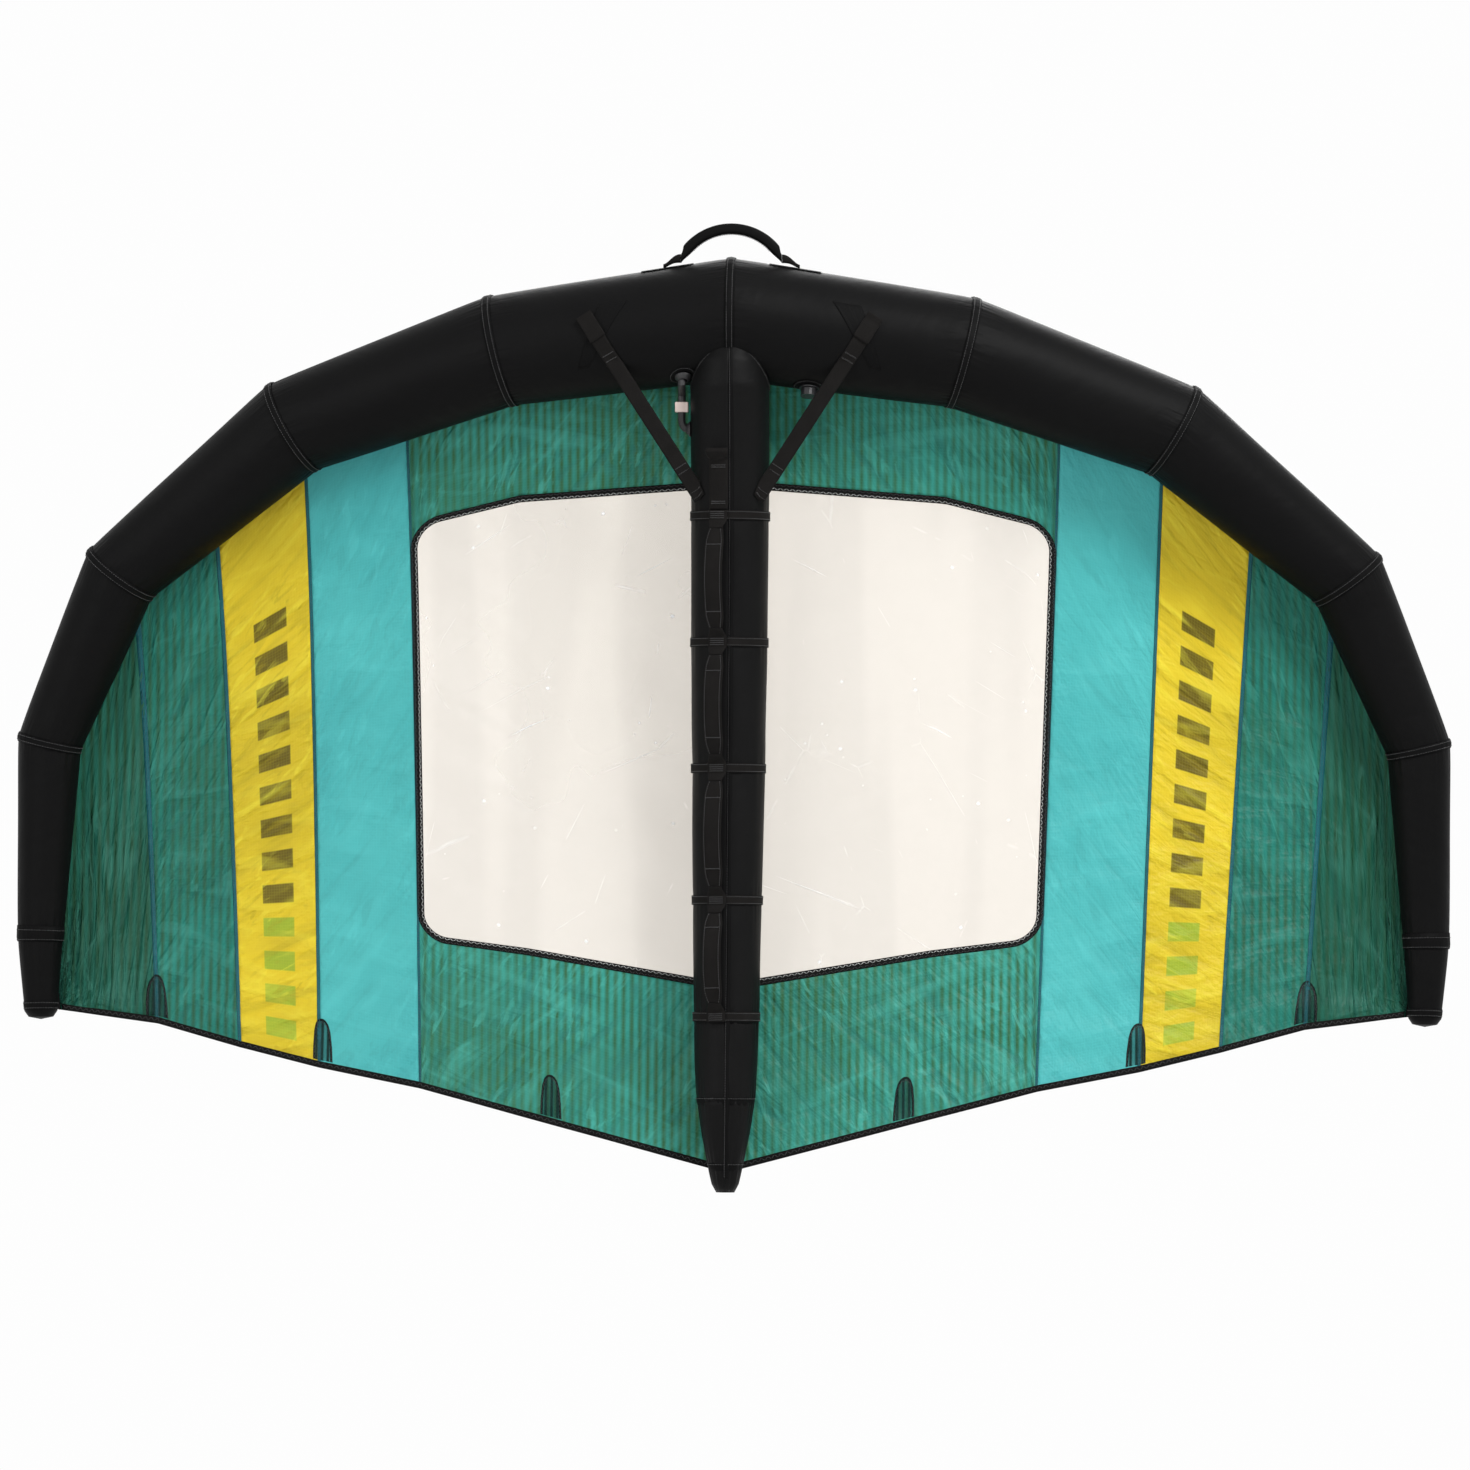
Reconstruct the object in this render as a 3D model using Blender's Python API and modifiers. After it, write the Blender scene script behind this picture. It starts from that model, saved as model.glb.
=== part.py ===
"""Wingfoil wing: a mitred leading edge tube, a strut, a three-dimensional canopy and its webbing handles.

X runs along the span, Z along the chord with the leading edge up, and -Y faces the rider, as the strut does.
The origin is on top of the leading edge on the centre line, where the wing is held. Metres throughout.
"""

import math

import bmesh
import bpy
from mathutils import Matrix, Vector

# Driving sizes of the whole wing
HALF_SPAN = 1.360
CHORD = 1.660
TIP_RISE = 0.243
LE_RADIUS = 0.118
STRUT_RADIUS = 0.076

# Cloth, film and clearances
SLEEVE_WALL = 0.0012
BLADDER_WALL = 0.0009
CLOTH = 0.0012
FILM = 0.0009
GAP = 0.0003
BLADDER_PLAY = 0.0012
STRUT_BLADDER_PLAY = 0.0006
SEAT = 0.0004

# Leading edge, station by station from the centre line to the tip
LE_X_SHARES = (0.0, 0.331, 0.632, 0.8846, 0.988, 1.0, 0.998)
LE_DROP_SHARES = (0.0, 0.0373, 0.1259, 0.2982, 0.4976, 0.7277, 0.8139)
LE_RISE_SHARES = (0.0, 0.155, 0.43, 0.78, 0.965, 1.0, 0.98)
LE_RADIUS_SHARES = (1.0, 0.932, 0.814, 0.653, 0.534, 0.385, 0.275)
LE_SIDES = 24
TIP_DOME_SHARES = ((0.22, 0.94), (0.38, 0.78), (0.5, 0.45))
TIP_POLE_SHARE = 0.54

# Canopy seams, counted from the centre line to the tip: where each one meets the tube, in
# tube stations, and where it meets the trailing edge
SEAM_STATION_SHARES = (0.0, 1.56, 2.083, 2.61, 3.17, 5.7)
TE_X_SHARES = (0.0, 0.442, 0.588, 0.704, 0.825, 0.970)
TE_DROP_SHARES = (1.0, 0.9036, 0.880, 0.8566, 0.829, 0.8133)
TE_RISE_SHARES = (-0.06, 0.247, 0.39, 0.535, 0.70, 1.04)
CAMBER_SHARES = (0.030, 0.062, 0.068, 0.070, 0.070, 0.045)
CAMBER_PEAK_SHARE = 0.33
ATTACH_DEG = 30.0
CHORD_ROWS = 8
CHORD_ROW_POWER_SHARE = 1.15
EDGE_ROWS = 3
PANE_ROWS = 6
PANEL_NAMES = ("teal_panel", "yellow_band", "green_panel", "tip_panel")

# Window
WINDOW_TOP_SHARE = 0.132
WINDOW_BOTTOM_SHARE = 0.773
WINDOW_CORNER = 0.062
WINDOW_STEPS = 6
BINDING_WIDTH = 0.014
BINDING_THICKNESS = 0.0018
CORNER_DEG = (0.0, 22.0, 45.0, 66.0, 90.0)

# Hem and batten pockets
HEM_WIDTH = 0.014
HEM_THICKNESS = 0.0026
POCKET_SEAM_SHARES = (0.57, 1.97, 3.99)
POCKET_WIDTH = 0.045
POCKET_LENGTH = 0.085
POCKET_THICKNESS = 0.0014
POCKET_OUTLINE_SHARES = ((0.0, 1.0), (0.35, 0.96), (0.7, 0.82), (0.88, 0.62), (0.97, 0.36), (1.0, 0.14))

# Strut: drop below the leading edge's axis as shares of the chord, radius as shares of the strut's
STRUT_DROP_SHARES = (0.012, 0.018, 0.030, 0.050, 0.080, 0.150, 0.231, 0.3795, 0.527, 0.681,
                     0.8235, 0.8705, 0.912, 0.951, 0.995, 1.0127, 1.0223)
STRUT_RADIUS_SHARES = (0.02, 0.36, 0.66, 0.87, 1.0, 1.0, 0.993, 0.974, 0.93, 0.879,
                       0.829, 0.803, 0.759, 0.625, 0.434, 0.342, 0.23)
STRUT_SEAM_SHARES = (0.821, 0.916, 0.993)
STRUT_NAMES = ("strut_sleeve_main", "strut_sleeve_rear", "strut_tail_cone", "strut_tail_cap")
STRUT_SIDES = 24
STRUT_NOSE_DROP = 0.050
STRUT_NOSE_FADE = 0.520
STRUT_TOP_GAP = 0.0009
BLADDER_NECK = 0.012
BLADDER_NECK_LENGTH = 0.040
BLADDER_SHOULDER = 0.050

# Webbing round the strut, and the grab handles between its bands
BAND_DROP_SHARES = (0.2315, 0.3795, 0.527, 0.6813, 0.8175)
BAND_WIDTH = 0.018
BAND_THICKNESS = 0.0016
BAND_REACH_DEG = 145.0
BAND_SEAT = 0.0006
HANDLE_TURN_DEG = -15.0
HANDLE_AXIS_HEIGHT = 0.016
HANDLE_ARCH = 0.022
HANDLE_WIDTH = 0.037
HANDLE_END_WIDTH = 0.027
HANDLE_THICKNESS = 0.0062
FOOT_REACH = 0.026
FOOT_RUNNING_GAP = 0.0006
FOOT_SINK = 0.0006
FOOT_CLIMB_SHARE = 0.35
HANDLE_BOW_SHARE = 0.8
HANDLE_STEPS = 10
TAIL_LENGTH = 0.118
TAIL_LOOP = 0.016
TAIL_THICKNESS = 0.003
TAIL_ROW_SHARES = ((0.0, 0.7), (0.4, 1.0), (0.9, 0.6), (1.2, 0.0))

# Front handle
FRONT_HANDLE_HALF = 0.098
FRONT_HANDLE_RISE = 0.058
FRONT_HANDLE_DEPTH = 0.029
FRONT_HANDLE_THICK = 0.022
FRONT_HANDLE_END_SHARE = 0.62
FRONT_HANDLE_SWELL_SHARE = 1.6
FRONT_HANDLE_POWER_SHARE = 1.15
FRONT_HANDLE_STEPS = 16
FRONT_AXIS_HEIGHT = 0.013
FRONT_FOOT_LENGTH = 0.034
FRONT_FOOT_TAIL = 0.0035
FRONT_FOOT_FLARE_SHARE = 0.4

# Bracing straps
STRAP_WIDTH = 0.030
STRAP_THICKNESS = 0.0024
STRAP_TOP_X = 0.269
STRAP_TOP_DROP = 0.021
STRAP_FOOT_X = 0.054
STRAP_FOOT_DROP = 0.352
STRAP_STEPS = 20

# Inflation valve and cap
VALVE_STATION_SHARE = 0.36
VALVE_DEG = -15.0
VALVE_FLANGE_RADIUS = 0.021
VALVE_FLANGE = 0.0025
VALVE_NECK_RADIUS = 0.0125
VALVE_NECK = 0.012
VALVE_BORE = 0.0075
VALVE_STEM_RADIUS = 0.011
VALVE_STEM = 0.006
CAP_RADIUS = 0.0165
CAP_WALL = 0.0025
CAP_PLAY = 0.0006

# Hose between the bladders, and its pinch clip
HOSE_RADIUS = 0.0075
HOSE_WALL = 0.0018
HOSE_OFFSET = 0.018
HOSE_DROP_SHARE = 0.130
HOSE_DEG = -30.0
HOSE_BEND_SHARE = 0.7
CLIP_LENGTH = 0.020
CLIP_WIDTH = 0.026
CLIP_DEPTH = 0.020
CLIP_PLAY = 0.0006

LE_AXIS_Z = -LE_RADIUS
SIDES = {"left": -1.0, "right": 1.0}


def clear_scene():
    for obj in list(bpy.data.objects):
        bpy.data.objects.remove(obj, do_unlink=True)
    for mesh in list(bpy.data.meshes):
        bpy.data.meshes.remove(mesh)


def collection(name):
    made = bpy.data.collections.new(name)
    bpy.context.scene.collection.children.link(made)
    return made


def material(name, color, roughness, metallic=0.0, alpha=1.0):
    made = bpy.data.materials.new(name)
    made.use_nodes = True
    shader = made.node_tree.nodes["Principled BSDF"]
    shader.inputs["Base Color"].default_value = (*color, 1.0)
    shader.inputs["Roughness"].default_value = roughness
    shader.inputs["Metallic"].default_value = metallic
    shader.inputs["Alpha"].default_value = alpha
    return made


clear_scene()
WING = collection("wingfoil_wing")
CUTTERS = collection("wingfoil_wing_cutters")
BLACK_CLOTH = material("black_sleeve_cloth", (0.012, 0.012, 0.013), 0.55)
BLACK_WEBBING = material("black_webbing", (0.010, 0.010, 0.011), 0.85)
BLADDER_FILM = material("bladder_film", (0.75, 0.78, 0.80), 0.35)
WINDOW_FILM = material("window_film", (0.80, 0.77, 0.72), 0.12, 0.0, 0.45)
GREEN_CLOTH = material("green_ripstop", (0.030, 0.190, 0.120), 0.6)
TEAL_CLOTH = material("teal_ripstop", (0.055, 0.340, 0.350), 0.6)
YELLOW_CLOTH = material("yellow_ripstop", (0.690, 0.510, 0.030), 0.6)
DARK_PLASTIC = material("dark_plastic", (0.020, 0.020, 0.022), 0.35)
PALE_PLASTIC = material("pale_plastic", (0.800, 0.700, 0.650), 0.35)


def lerp(a, b, t):
    return a + (b - a) * t


def along(table, t):
    """The value at place t in a table of numbers or vectors, straight between entries."""
    i = min(int(t), len(table) - 2)
    return lerp(table[i], table[i + 1], t - i)


def table_at(xs, ys, x):
    """The value of ys at x, where xs rises."""
    for i in range(len(xs) - 1):
        if x <= xs[i + 1]:
            break
    return lerp(ys[i], ys[i + 1], (x - xs[i]) / (xs[i + 1] - xs[i]))


def polygon_radius(radius, degrees, sides):
    """Distance to the flat of a polygon drawn round a circle, with a flat's middle at 0 degrees."""
    step = 360.0 / sides
    off = (degrees + step / 2) % step - step / 2
    return radius / math.cos(math.radians(off))


def corner_degrees(sides):
    return [(k + 0.5) * 360.0 / sides for k in range(sides)]


# Meshes


def place(name, mesh, finish, smooth_deg=40.0):
    mesh.validate()
    mesh.shade_smooth()
    mesh.set_sharp_from_angle(angle=math.radians(smooth_deg))
    mesh.materials.clear()
    mesh.materials.append(finish)
    obj = bpy.data.objects.new(name, mesh)
    WING.objects.link(obj)
    return obj


def loft(rings, closed=True, start_pole=None, end_pole=None, start_cap=False, end_cap=False):
    """A mesh through rings of as many points each, for tubes whose sections differ."""
    mesh = bpy.data.meshes.new("loft")
    bm = bmesh.new()
    made = [[bm.verts.new(p) for p in ring] for ring in rings]
    count = len(rings[0])
    spans = count if closed else count - 1
    for low, high in zip(made, made[1:]):
        for k in range(spans):
            j = (k + 1) % count
            bm.faces.new((low[k], low[j], high[j], high[k]))
    for pole, ring in ((start_pole, made[0]), (end_pole, made[-1])):
        if pole is None:
            continue
        tip = bm.verts.new(pole)
        for k in range(spans):
            bm.faces.new((ring[k], ring[(k + 1) % count], tip))
    if start_cap:
        bm.faces.new(made[0])
    if end_cap:
        bm.faces.new(made[-1])
    bmesh.ops.recalc_face_normals(bm, faces=bm.faces)
    bm.to_mesh(mesh)
    bm.free()
    return mesh


def baked(obj):
    """The object's mesh with its modifiers applied."""
    bpy.context.view_layer.update()
    mesh = bpy.data.meshes.new_from_object(obj.evaluated_get(bpy.context.evaluated_depsgraph_get()))
    old = obj.data
    obj.modifiers.clear()
    obj.data = mesh
    bpy.data.meshes.remove(old)
    return obj


def thicken(obj, thickness, offset=-1.0):
    """A wall: offset -1 grows it inward, 1 outward, 0 both ways."""
    wall = obj.modifiers.new("wall", "SOLIDIFY")
    wall.thickness = thickness
    wall.offset = offset
    wall.use_even_offset = False
    return obj


def sheet(name, grid, finish, thickness, offset=0.0):
    """Cloth or webbing through a grid of points, given its thickness."""
    obj = place(name, loft(grid, closed=False), finish)
    return thicken(obj, thickness, offset)


def cutter(name, mesh):
    obj = bpy.data.objects.new(name, mesh)
    CUTTERS.objects.link(obj)
    obj.hide_render = True
    obj.display_type = "WIRE"
    return obj


def boolean(obj, tool, operation="DIFFERENCE"):
    cut = obj.modifiers.new("cut", "BOOLEAN")
    cut.object = tool
    cut.operation = operation
    cut.solver = "EXACT"
    return baked(obj)


def cylinder_mesh(start, end, radius, sides=20):
    bm = bmesh.new()
    line = end - start
    bmesh.ops.create_cone(bm, cap_ends=True, segments=sides, radius1=radius, radius2=radius,
                          depth=line.length)
    turn = line.to_track_quat("Z", "Y").to_matrix().to_4x4()
    bmesh.ops.transform(bm, matrix=turn, verts=bm.verts)
    bmesh.ops.translate(bm, vec=(start + end) / 2, verts=bm.verts)
    mesh = bpy.data.meshes.new("cylinder")
    bm.to_mesh(mesh)
    bm.free()
    return mesh


def turned(name, profile, foot, direction, finish, steps=20):
    """A turned piece: its profile's (radius, height) points run down the outer side first."""
    mesh = bpy.data.meshes.new(name)
    bm = bmesh.new()
    verts = [bm.verts.new((r, 0.0, h)) for r, h in profile]
    for a, b in zip(verts, verts[1:]):
        bm.edges.new((a, b))
    if profile[0][0] > 0.0 and profile[-1][0] > 0.0:
        bm.edges.new((verts[-1], verts[0]))
    bm.to_mesh(mesh)
    bm.free()
    obj = bpy.data.objects.new(name, mesh)
    WING.objects.link(obj)
    spin = obj.modifiers.new("turn", "SCREW")
    spin.steps = steps
    spin.render_steps = steps
    spin.use_merge_vertices = True
    spin.merge_threshold = 0.00005
    spin.use_smooth_shade = True
    mesh.materials.append(finish)
    obj.rotation_mode = "QUATERNION"
    obj.rotation_quaternion = direction.to_track_quat("Z", "Y")
    obj.location = foot
    return obj


# Leading edge

LE_AXIS = [Vector((HALF_SPAN * x, TIP_RISE * y, LE_AXIS_Z - CHORD * d))
           for x, y, d in zip(LE_X_SHARES, LE_RISE_SHARES, LE_DROP_SHARES)]
LE_RADII = [LE_RADIUS * share for share in LE_RADIUS_SHARES]
LE_LAST = len(LE_AXIS) - 1


def mitre_frame(i):
    """Directions at a station: along the tube, into the wing, and towards the wing's back."""
    runs = [(b - a).normalized() for a, b in zip(LE_AXIS, LE_AXIS[1:])]
    after = runs[min(i, LE_LAST - 1)]
    if i == 0:
        before = Vector((after.x, -after.y, -after.z))
    else:
        before = runs[i - 1]
    run = (before + after).normalized()
    inward = Vector((run.z, 0.0, -run.x))
    inward = (inward - inward.dot(run) * run).normalized()
    back = inward.cross(run).normalized()
    if back.y < 0.0:
        back = -back
    return run, inward, back, max(before.dot(run), 0.5)


MITRES = [mitre_frame(i) for i in range(LE_LAST + 1)]


def station_point(i, degrees, inset):
    """A point on the mitre ring at a station: 0 degrees is the wing's side, 90 its back."""
    run, inward, back, cosine = MITRES[i]
    a = math.radians(degrees)
    radius = polygon_radius(LE_RADII[i] - inset, degrees, LE_SIDES)
    return LE_AXIS[i] + radius * (math.cos(a) / cosine * inward + math.sin(a) * back)


def le_point(station, degrees, inset=0.0, side=1.0):
    """A point on the tube's flats, sunk by inset; a negative inset lifts it off."""
    i = min(int(station), LE_LAST - 1)
    p = lerp(station_point(i, degrees, inset), station_point(i + 1, degrees, inset), station - i)
    return Vector((side * p.x, p.y, p.z))


def le_normal(station, degrees, side=1.0):
    lift = le_point(station, degrees, -LE_RADIUS, side) - le_point(station, degrees, 0.0, side)
    return lift.normalized()


def le_ring(station, inset, side=1.0):
    return [le_point(station, d, inset, side) for d in corner_degrees(LE_SIDES)]


def le_dome(inset, side):
    """Rings and pole of the tube's closed tip."""
    run = MITRES[LE_LAST][0]
    radius = LE_RADII[LE_LAST]
    rings = []
    for rise, share in TIP_DOME_SHARES:
        ring = []
        for d in corner_degrees(LE_SIDES):
            p = station_point(LE_LAST, d, radius - share * (radius - inset))
            p = p + run * rise * (radius - inset)
            ring.append(Vector((side * p.x, p.y, p.z)))
        rings.append(ring)
    pole = LE_AXIS[LE_LAST] + run * TIP_POLE_SHARE * (radius - inset)
    return rings, Vector((side * pole.x, pole.y, pole.z))


def section_share(i, length):
    """A length along a tube section as a share of that section."""
    return length / (LE_AXIS[i + 1] - LE_AXIS[i]).length


def sleeve_section(label, side, i):
    """One sewn section of the sleeve, between two mitre seams; the last one closes the tip."""
    start = i + section_share(i, GAP)
    name = f"le_sleeve_{label}_{i + 1}"
    if i < LE_LAST - 1:
        rings = [le_ring(start, 0.0, side), le_ring(i + 1 - section_share(i, GAP), 0.0, side)]
        mesh = loft(rings)
    else:
        dome, pole = le_dome(0.0, side)
        mesh = loft([le_ring(start, 0.0, side), le_ring(i + 1, 0.0, side), *dome], end_pole=pole)
    return thicken(place(name, mesh, BLACK_CLOTH), SLEEVE_WALL)


def le_bladder():
    inset = SLEEVE_WALL + BLADDER_PLAY
    left_dome, left_pole = le_dome(inset, SIDES["left"])
    right_dome, right_pole = le_dome(inset, SIDES["right"])
    left = [le_ring(i, inset, SIDES["left"]) for i in range(LE_LAST, 0, -1)]
    right = [le_ring(i, inset, SIDES["right"]) for i in range(LE_LAST + 1)]
    rings = [*reversed(left_dome), *left, *right, *right_dome]
    mesh = loft(rings, start_pole=left_pole, end_pole=right_pole)
    return thicken(place("le_bladder", mesh, BLADDER_FILM), BLADDER_WALL)


def le_centre_solid(inset):
    """The middle of the tube as a closed solid, for cutting the strut's front to it."""
    reach = 1
    rings = [le_ring(reach, inset, SIDES["left"])]
    rings += [le_ring(i, inset, SIDES["right"]) for i in range(reach + 1)]
    return loft(rings, start_cap=True, end_cap=True)


# Canopy


def seam_table(shares, size, origin=0.0):
    return [origin + size * share for share in shares]


TE_X = seam_table(TE_X_SHARES, HALF_SPAN)
TE_Y = seam_table(TE_RISE_SHARES, TIP_RISE)
TE_Z = seam_table(TE_DROP_SHARES, -CHORD, LE_AXIS_Z)
ATTACH_LIFT = GAP + CLOTH / 2
LAST_SEAM = len(TE_X) - 1


def camber(s):
    """A mean line's rise over its chord, 1 at its peak."""
    p = CAMBER_PEAK_SHARE
    if s < p:
        return (2 * p * s - s * s) / (p * p)
    return (1 - 2 * p + 2 * p * s - s * s) / ((1 - p) * (1 - p))


def canopy_point(v, s, lift=0.0, side=1.0):
    """v counts panels from the centre line, s runs from the tube to the trailing edge."""
    front = le_point(along(SEAM_STATION_SHARES, v), ATTACH_DEG, -ATTACH_LIFT)
    rear = Vector((along(TE_X, v), along(TE_Y, v), along(TE_Z, v)))
    p = lerp(front, rear, s)
    p.y += (rear - front).length * along(CAMBER_SHARES, v) * camber(s) + lift
    return Vector((side * p.x, p.y, p.z))


def panel_width(v, s):
    i = min(int(v), LAST_SEAM - 1)
    return (canopy_point(i + 1, s) - canopy_point(i, s)).length


def chord_at(v):
    return (canopy_point(v, 1.0) - canopy_point(v, 0.0)).length


def hem_share(v, length):
    return 1.0 - length / chord_at(v)


def station_breaks(first, last):
    """Places between two seams where the tube bends, as v."""
    breaks = []
    for i in range(int(first), int(math.ceil(last))):
        a, b = SEAM_STATION_SHARES[i], SEAM_STATION_SHARES[i + 1]
        for station in range(int(math.ceil(a)), int(b) + 1):
            if a < station < b:
                breaks.append(i + (station - a) / (b - a))
    return [v for v in breaks if first < v < last]


def columns(first, last, steps, breaks):
    """Even places from first to last, with each break in place of its nearest one."""
    places = [lerp(first, last, k / steps) for k in range(steps + 1)]
    for stop in breaks:
        inner = range(1, steps)
        nearest = min(inner, key=lambda k: abs(places[k] - stop))
        places[nearest] = stop
    return sorted(places)


def panel_edges(i):
    """A panel's first and last place, clear of the seams by the gap."""
    trim = GAP / panel_width(i, 0.5)
    return i + trim, i + 1 - trim


def chord_rows(end):
    """Places down the chord, closer together near the tube."""
    return [end * (k / CHORD_ROWS) ** CHORD_ROW_POWER_SHARE for k in range(CHORD_ROWS + 1)]


def outer_panel(label, side, i, steps):
    first, last = panel_edges(i)
    grid = []
    for v in columns(first, last, steps, station_breaks(i, i + 1)):
        rows = chord_rows(hem_share(v, HEM_WIDTH + GAP))
        grid.append([canopy_point(v, s, 0.0, side) for s in rows])
    finish = {"teal_panel": TEAL_CLOTH, "yellow_band": YELLOW_CLOTH}
    name = PANEL_NAMES[i - 1]
    return sheet(f"{name}_{label}", grid, finish.get(name, GREEN_CLOTH), CLOTH)


def window_outline(inset):
    """The window's outline on one side as (v, s), in three runs: from the centre line along its
    top and round the corner, down its outer side, and back along its bottom."""
    middle = (WINDOW_TOP_SHARE + WINDOW_BOTTOM_SHARE) / 2
    width = panel_width(0, middle)
    chord = chord_at(0.5)
    corner = WINDOW_CORNER - inset
    outer = 1.0 - inset / width
    top = WINDOW_TOP_SHARE + inset / chord
    bottom = WINDOW_BOTTOM_SHARE - inset / chord
    flat = outer - corner / width
    upper = [(v, top) for v in columns(0.0, flat, WINDOW_STEPS, station_breaks(0, 1))[:-1]]
    for d in CORNER_DEG:
        a = math.radians(d)
        upper.append((flat + corner / width * math.sin(a), top + corner / chord * (1 - math.cos(a))))
    lower = [(v, bottom - (s - top)) for v, s in reversed(upper)]
    flank = [(outer, lerp(upper[-1][1], lower[0][1], k / CHORD_ROWS)) for k in range(1, CHORD_ROWS)]
    return upper, flank, lower


def centre_panels(label, side):
    """The cloth in front of the window and the cloth behind it."""
    first, last = panel_edges(0)
    upper, _, lower = window_outline(-GAP)
    spare = CLOTH / panel_width(0, WINDOW_TOP_SHARE)
    made = []
    for name, outline in (("front_panel", upper), ("rear_panel", list(reversed(lower)))):
        edge = [(v, s) for v, s in outline if v < last - spare]
        edge[0] = (first, edge[0][1])
        edge.append((last, edge[-1][1]))
        grid = []
        for v, s in edge:
            if name == "front_panel":
                rows = [s * k / EDGE_ROWS for k in range(EDGE_ROWS + 1)]
            else:
                hem = hem_share(v, HEM_WIDTH + GAP)
                rows = [lerp(s, hem, k / EDGE_ROWS) for k in range(EDGE_ROWS + 1)]
            grid.append([canopy_point(v, t, 0.0, side) for t in rows])
        made.append(sheet(f"{name}_{label}", grid, GREEN_CLOTH, CLOTH))
    return made


def window_pane(label, side):
    upper, _, lower = window_outline(BINDING_WIDTH + GAP)
    first = panel_edges(0)[0]
    grid = []
    for (v, top), (_, bottom) in zip(upper, reversed(lower)):
        rows = [lerp(top, bottom, k / PANE_ROWS) for k in range(PANE_ROWS + 1)]
        grid.append([canopy_point(max(v, first), s, 0.0, side) for s in rows])
    return sheet(f"window_pane_{label}", grid, WINDOW_FILM, FILM)


def window_binding(label, side):
    first = panel_edges(0)[0]
    outer = [p for run in window_outline(GAP) for p in run]
    inner = [p for run in window_outline(BINDING_WIDTH - GAP) for p in run]
    drawn = []
    for (v0, s0), (v1, s1) in zip(outer, inner):
        a = canopy_point(max(v0, first), s0, 0.0, side)
        b = canopy_point(max(v1, first), s1, 0.0, side)
        drawn.append([a, b])
    return sheet(f"window_binding_{label}", drawn, BLACK_WEBBING, BINDING_THICKNESS)


def trailing_hem():
    """One folded strip along the whole trailing edge."""
    places = []
    for i in range(LAST_SEAM):
        places += columns(i, i + 1, 3, station_breaks(i, i + 1))[1:]
    end = panel_edges(LAST_SEAM - 1)[1]
    places = [p for p in places if p < end] + [end]
    run = [(v, SIDES["left"]) for v in reversed(places)]
    run += [(0.0, 1.0)] + [(v, SIDES["right"]) for v in places]
    lift = (HEM_THICKNESS - CLOTH) / 2
    grid = [[canopy_point(v, hem_share(v, HEM_WIDTH - GAP), lift, side),
             canopy_point(v, 1.0, lift, side)] for v, side in run]
    return sheet("trailing_hem", grid, BLACK_WEBBING, HEM_THICKNESS)


def batten_pocket(label, side, number, v):
    """A finger-shaped patch on the canopy's back, ending at the hem."""
    lift = CLOTH / 2 + SEAT + POCKET_THICKNESS / 2
    near = hem_share(v, HEM_WIDTH + GAP + CLOTH)
    length = POCKET_LENGTH / chord_at(v)
    half = POCKET_WIDTH / 2 / panel_width(v, near)
    grid = []
    for reach, share in POCKET_OUTLINE_SHARES:
        s = near - length * reach
        grid.append([canopy_point(v + half * share * across, s, lift, side)
                     for across in (-1.0, -0.5, 0.0, 0.5, 1.0)])
    return sheet(f"batten_pocket_{label}_{number}", grid, DARK_PLASTIC, POCKET_THICKNESS)


# Strut

STRUT_DROPS = [CHORD * share for share in STRUT_DROP_SHARES]
STRUT_RADII = [STRUT_RADIUS * share for share in STRUT_RADIUS_SHARES]
STRUT_SEAMS = [CHORD * share for share in STRUT_SEAM_SHARES]
STRUT_SHOULDER = STRUT_RADIUS_SHARES.index(1.0)


def strut_axis_y(i):
    """The strut hangs under the canopy's centre line, and dips below the tube at its front."""
    front = canopy_point(0.0, 0.0)
    rear = canopy_point(0.0, 1.0)
    s = (LE_AXIS_Z - STRUT_DROPS[i] - front.z) / (rear.z - front.z)
    top = canopy_point(0.0, min(max(s, 0.0), 1.0)).y
    radius = STRUT_RADII[max(i, STRUT_SHOULDER)]
    fade = max(0.0, 1.0 - STRUT_DROPS[max(i, STRUT_SHOULDER)] / STRUT_NOSE_FADE)
    return top - CLOTH / 2 - STRUT_TOP_GAP - radius - STRUT_NOSE_DROP * fade * fade


STRUT_AXIS_Y = [strut_axis_y(i) for i in range(len(STRUT_DROPS))]


def strut_point(drop, degrees, lift=0.0):
    """A point on the strut's flats: 0 degrees faces the rider, 90 is +X."""
    a = math.radians(degrees)
    radius = polygon_radius(table_at(STRUT_DROPS, STRUT_RADII, drop) + lift, degrees, STRUT_SIDES)
    middle = table_at(STRUT_DROPS, STRUT_AXIS_Y, drop)
    return Vector((radius * math.sin(a), middle - radius * math.cos(a), LE_AXIS_Z - drop))


def strut_ring(drop, inset=0.0):
    return [strut_point(drop, d, -inset) for d in corner_degrees(STRUT_SIDES)]


def strut_sleeves():
    starts = [STRUT_DROPS[0], *(drop + GAP for drop in STRUT_SEAMS)]
    ends = [*(drop - GAP for drop in STRUT_SEAMS), STRUT_DROPS[-1]]
    pieces = []
    for name, start, end in zip(STRUT_NAMES, starts, ends):
        inner = [drop for drop in STRUT_DROPS if start + GAP < drop < end - GAP]
        rings = [strut_ring(drop) for drop in (start, *inner, end)]
        first = name == STRUT_NAMES[0]
        last = name == STRUT_NAMES[-1]
        mesh = loft(rings, start_cap=first, end_cap=last)
        pieces.append(thicken(place(name, mesh, BLACK_CLOTH), SLEEVE_WALL))
    tool = cutter("strut_front_cutter", le_centre_solid(-SEAT))
    boolean(baked(pieces[0]), tool)
    return pieces


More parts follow.
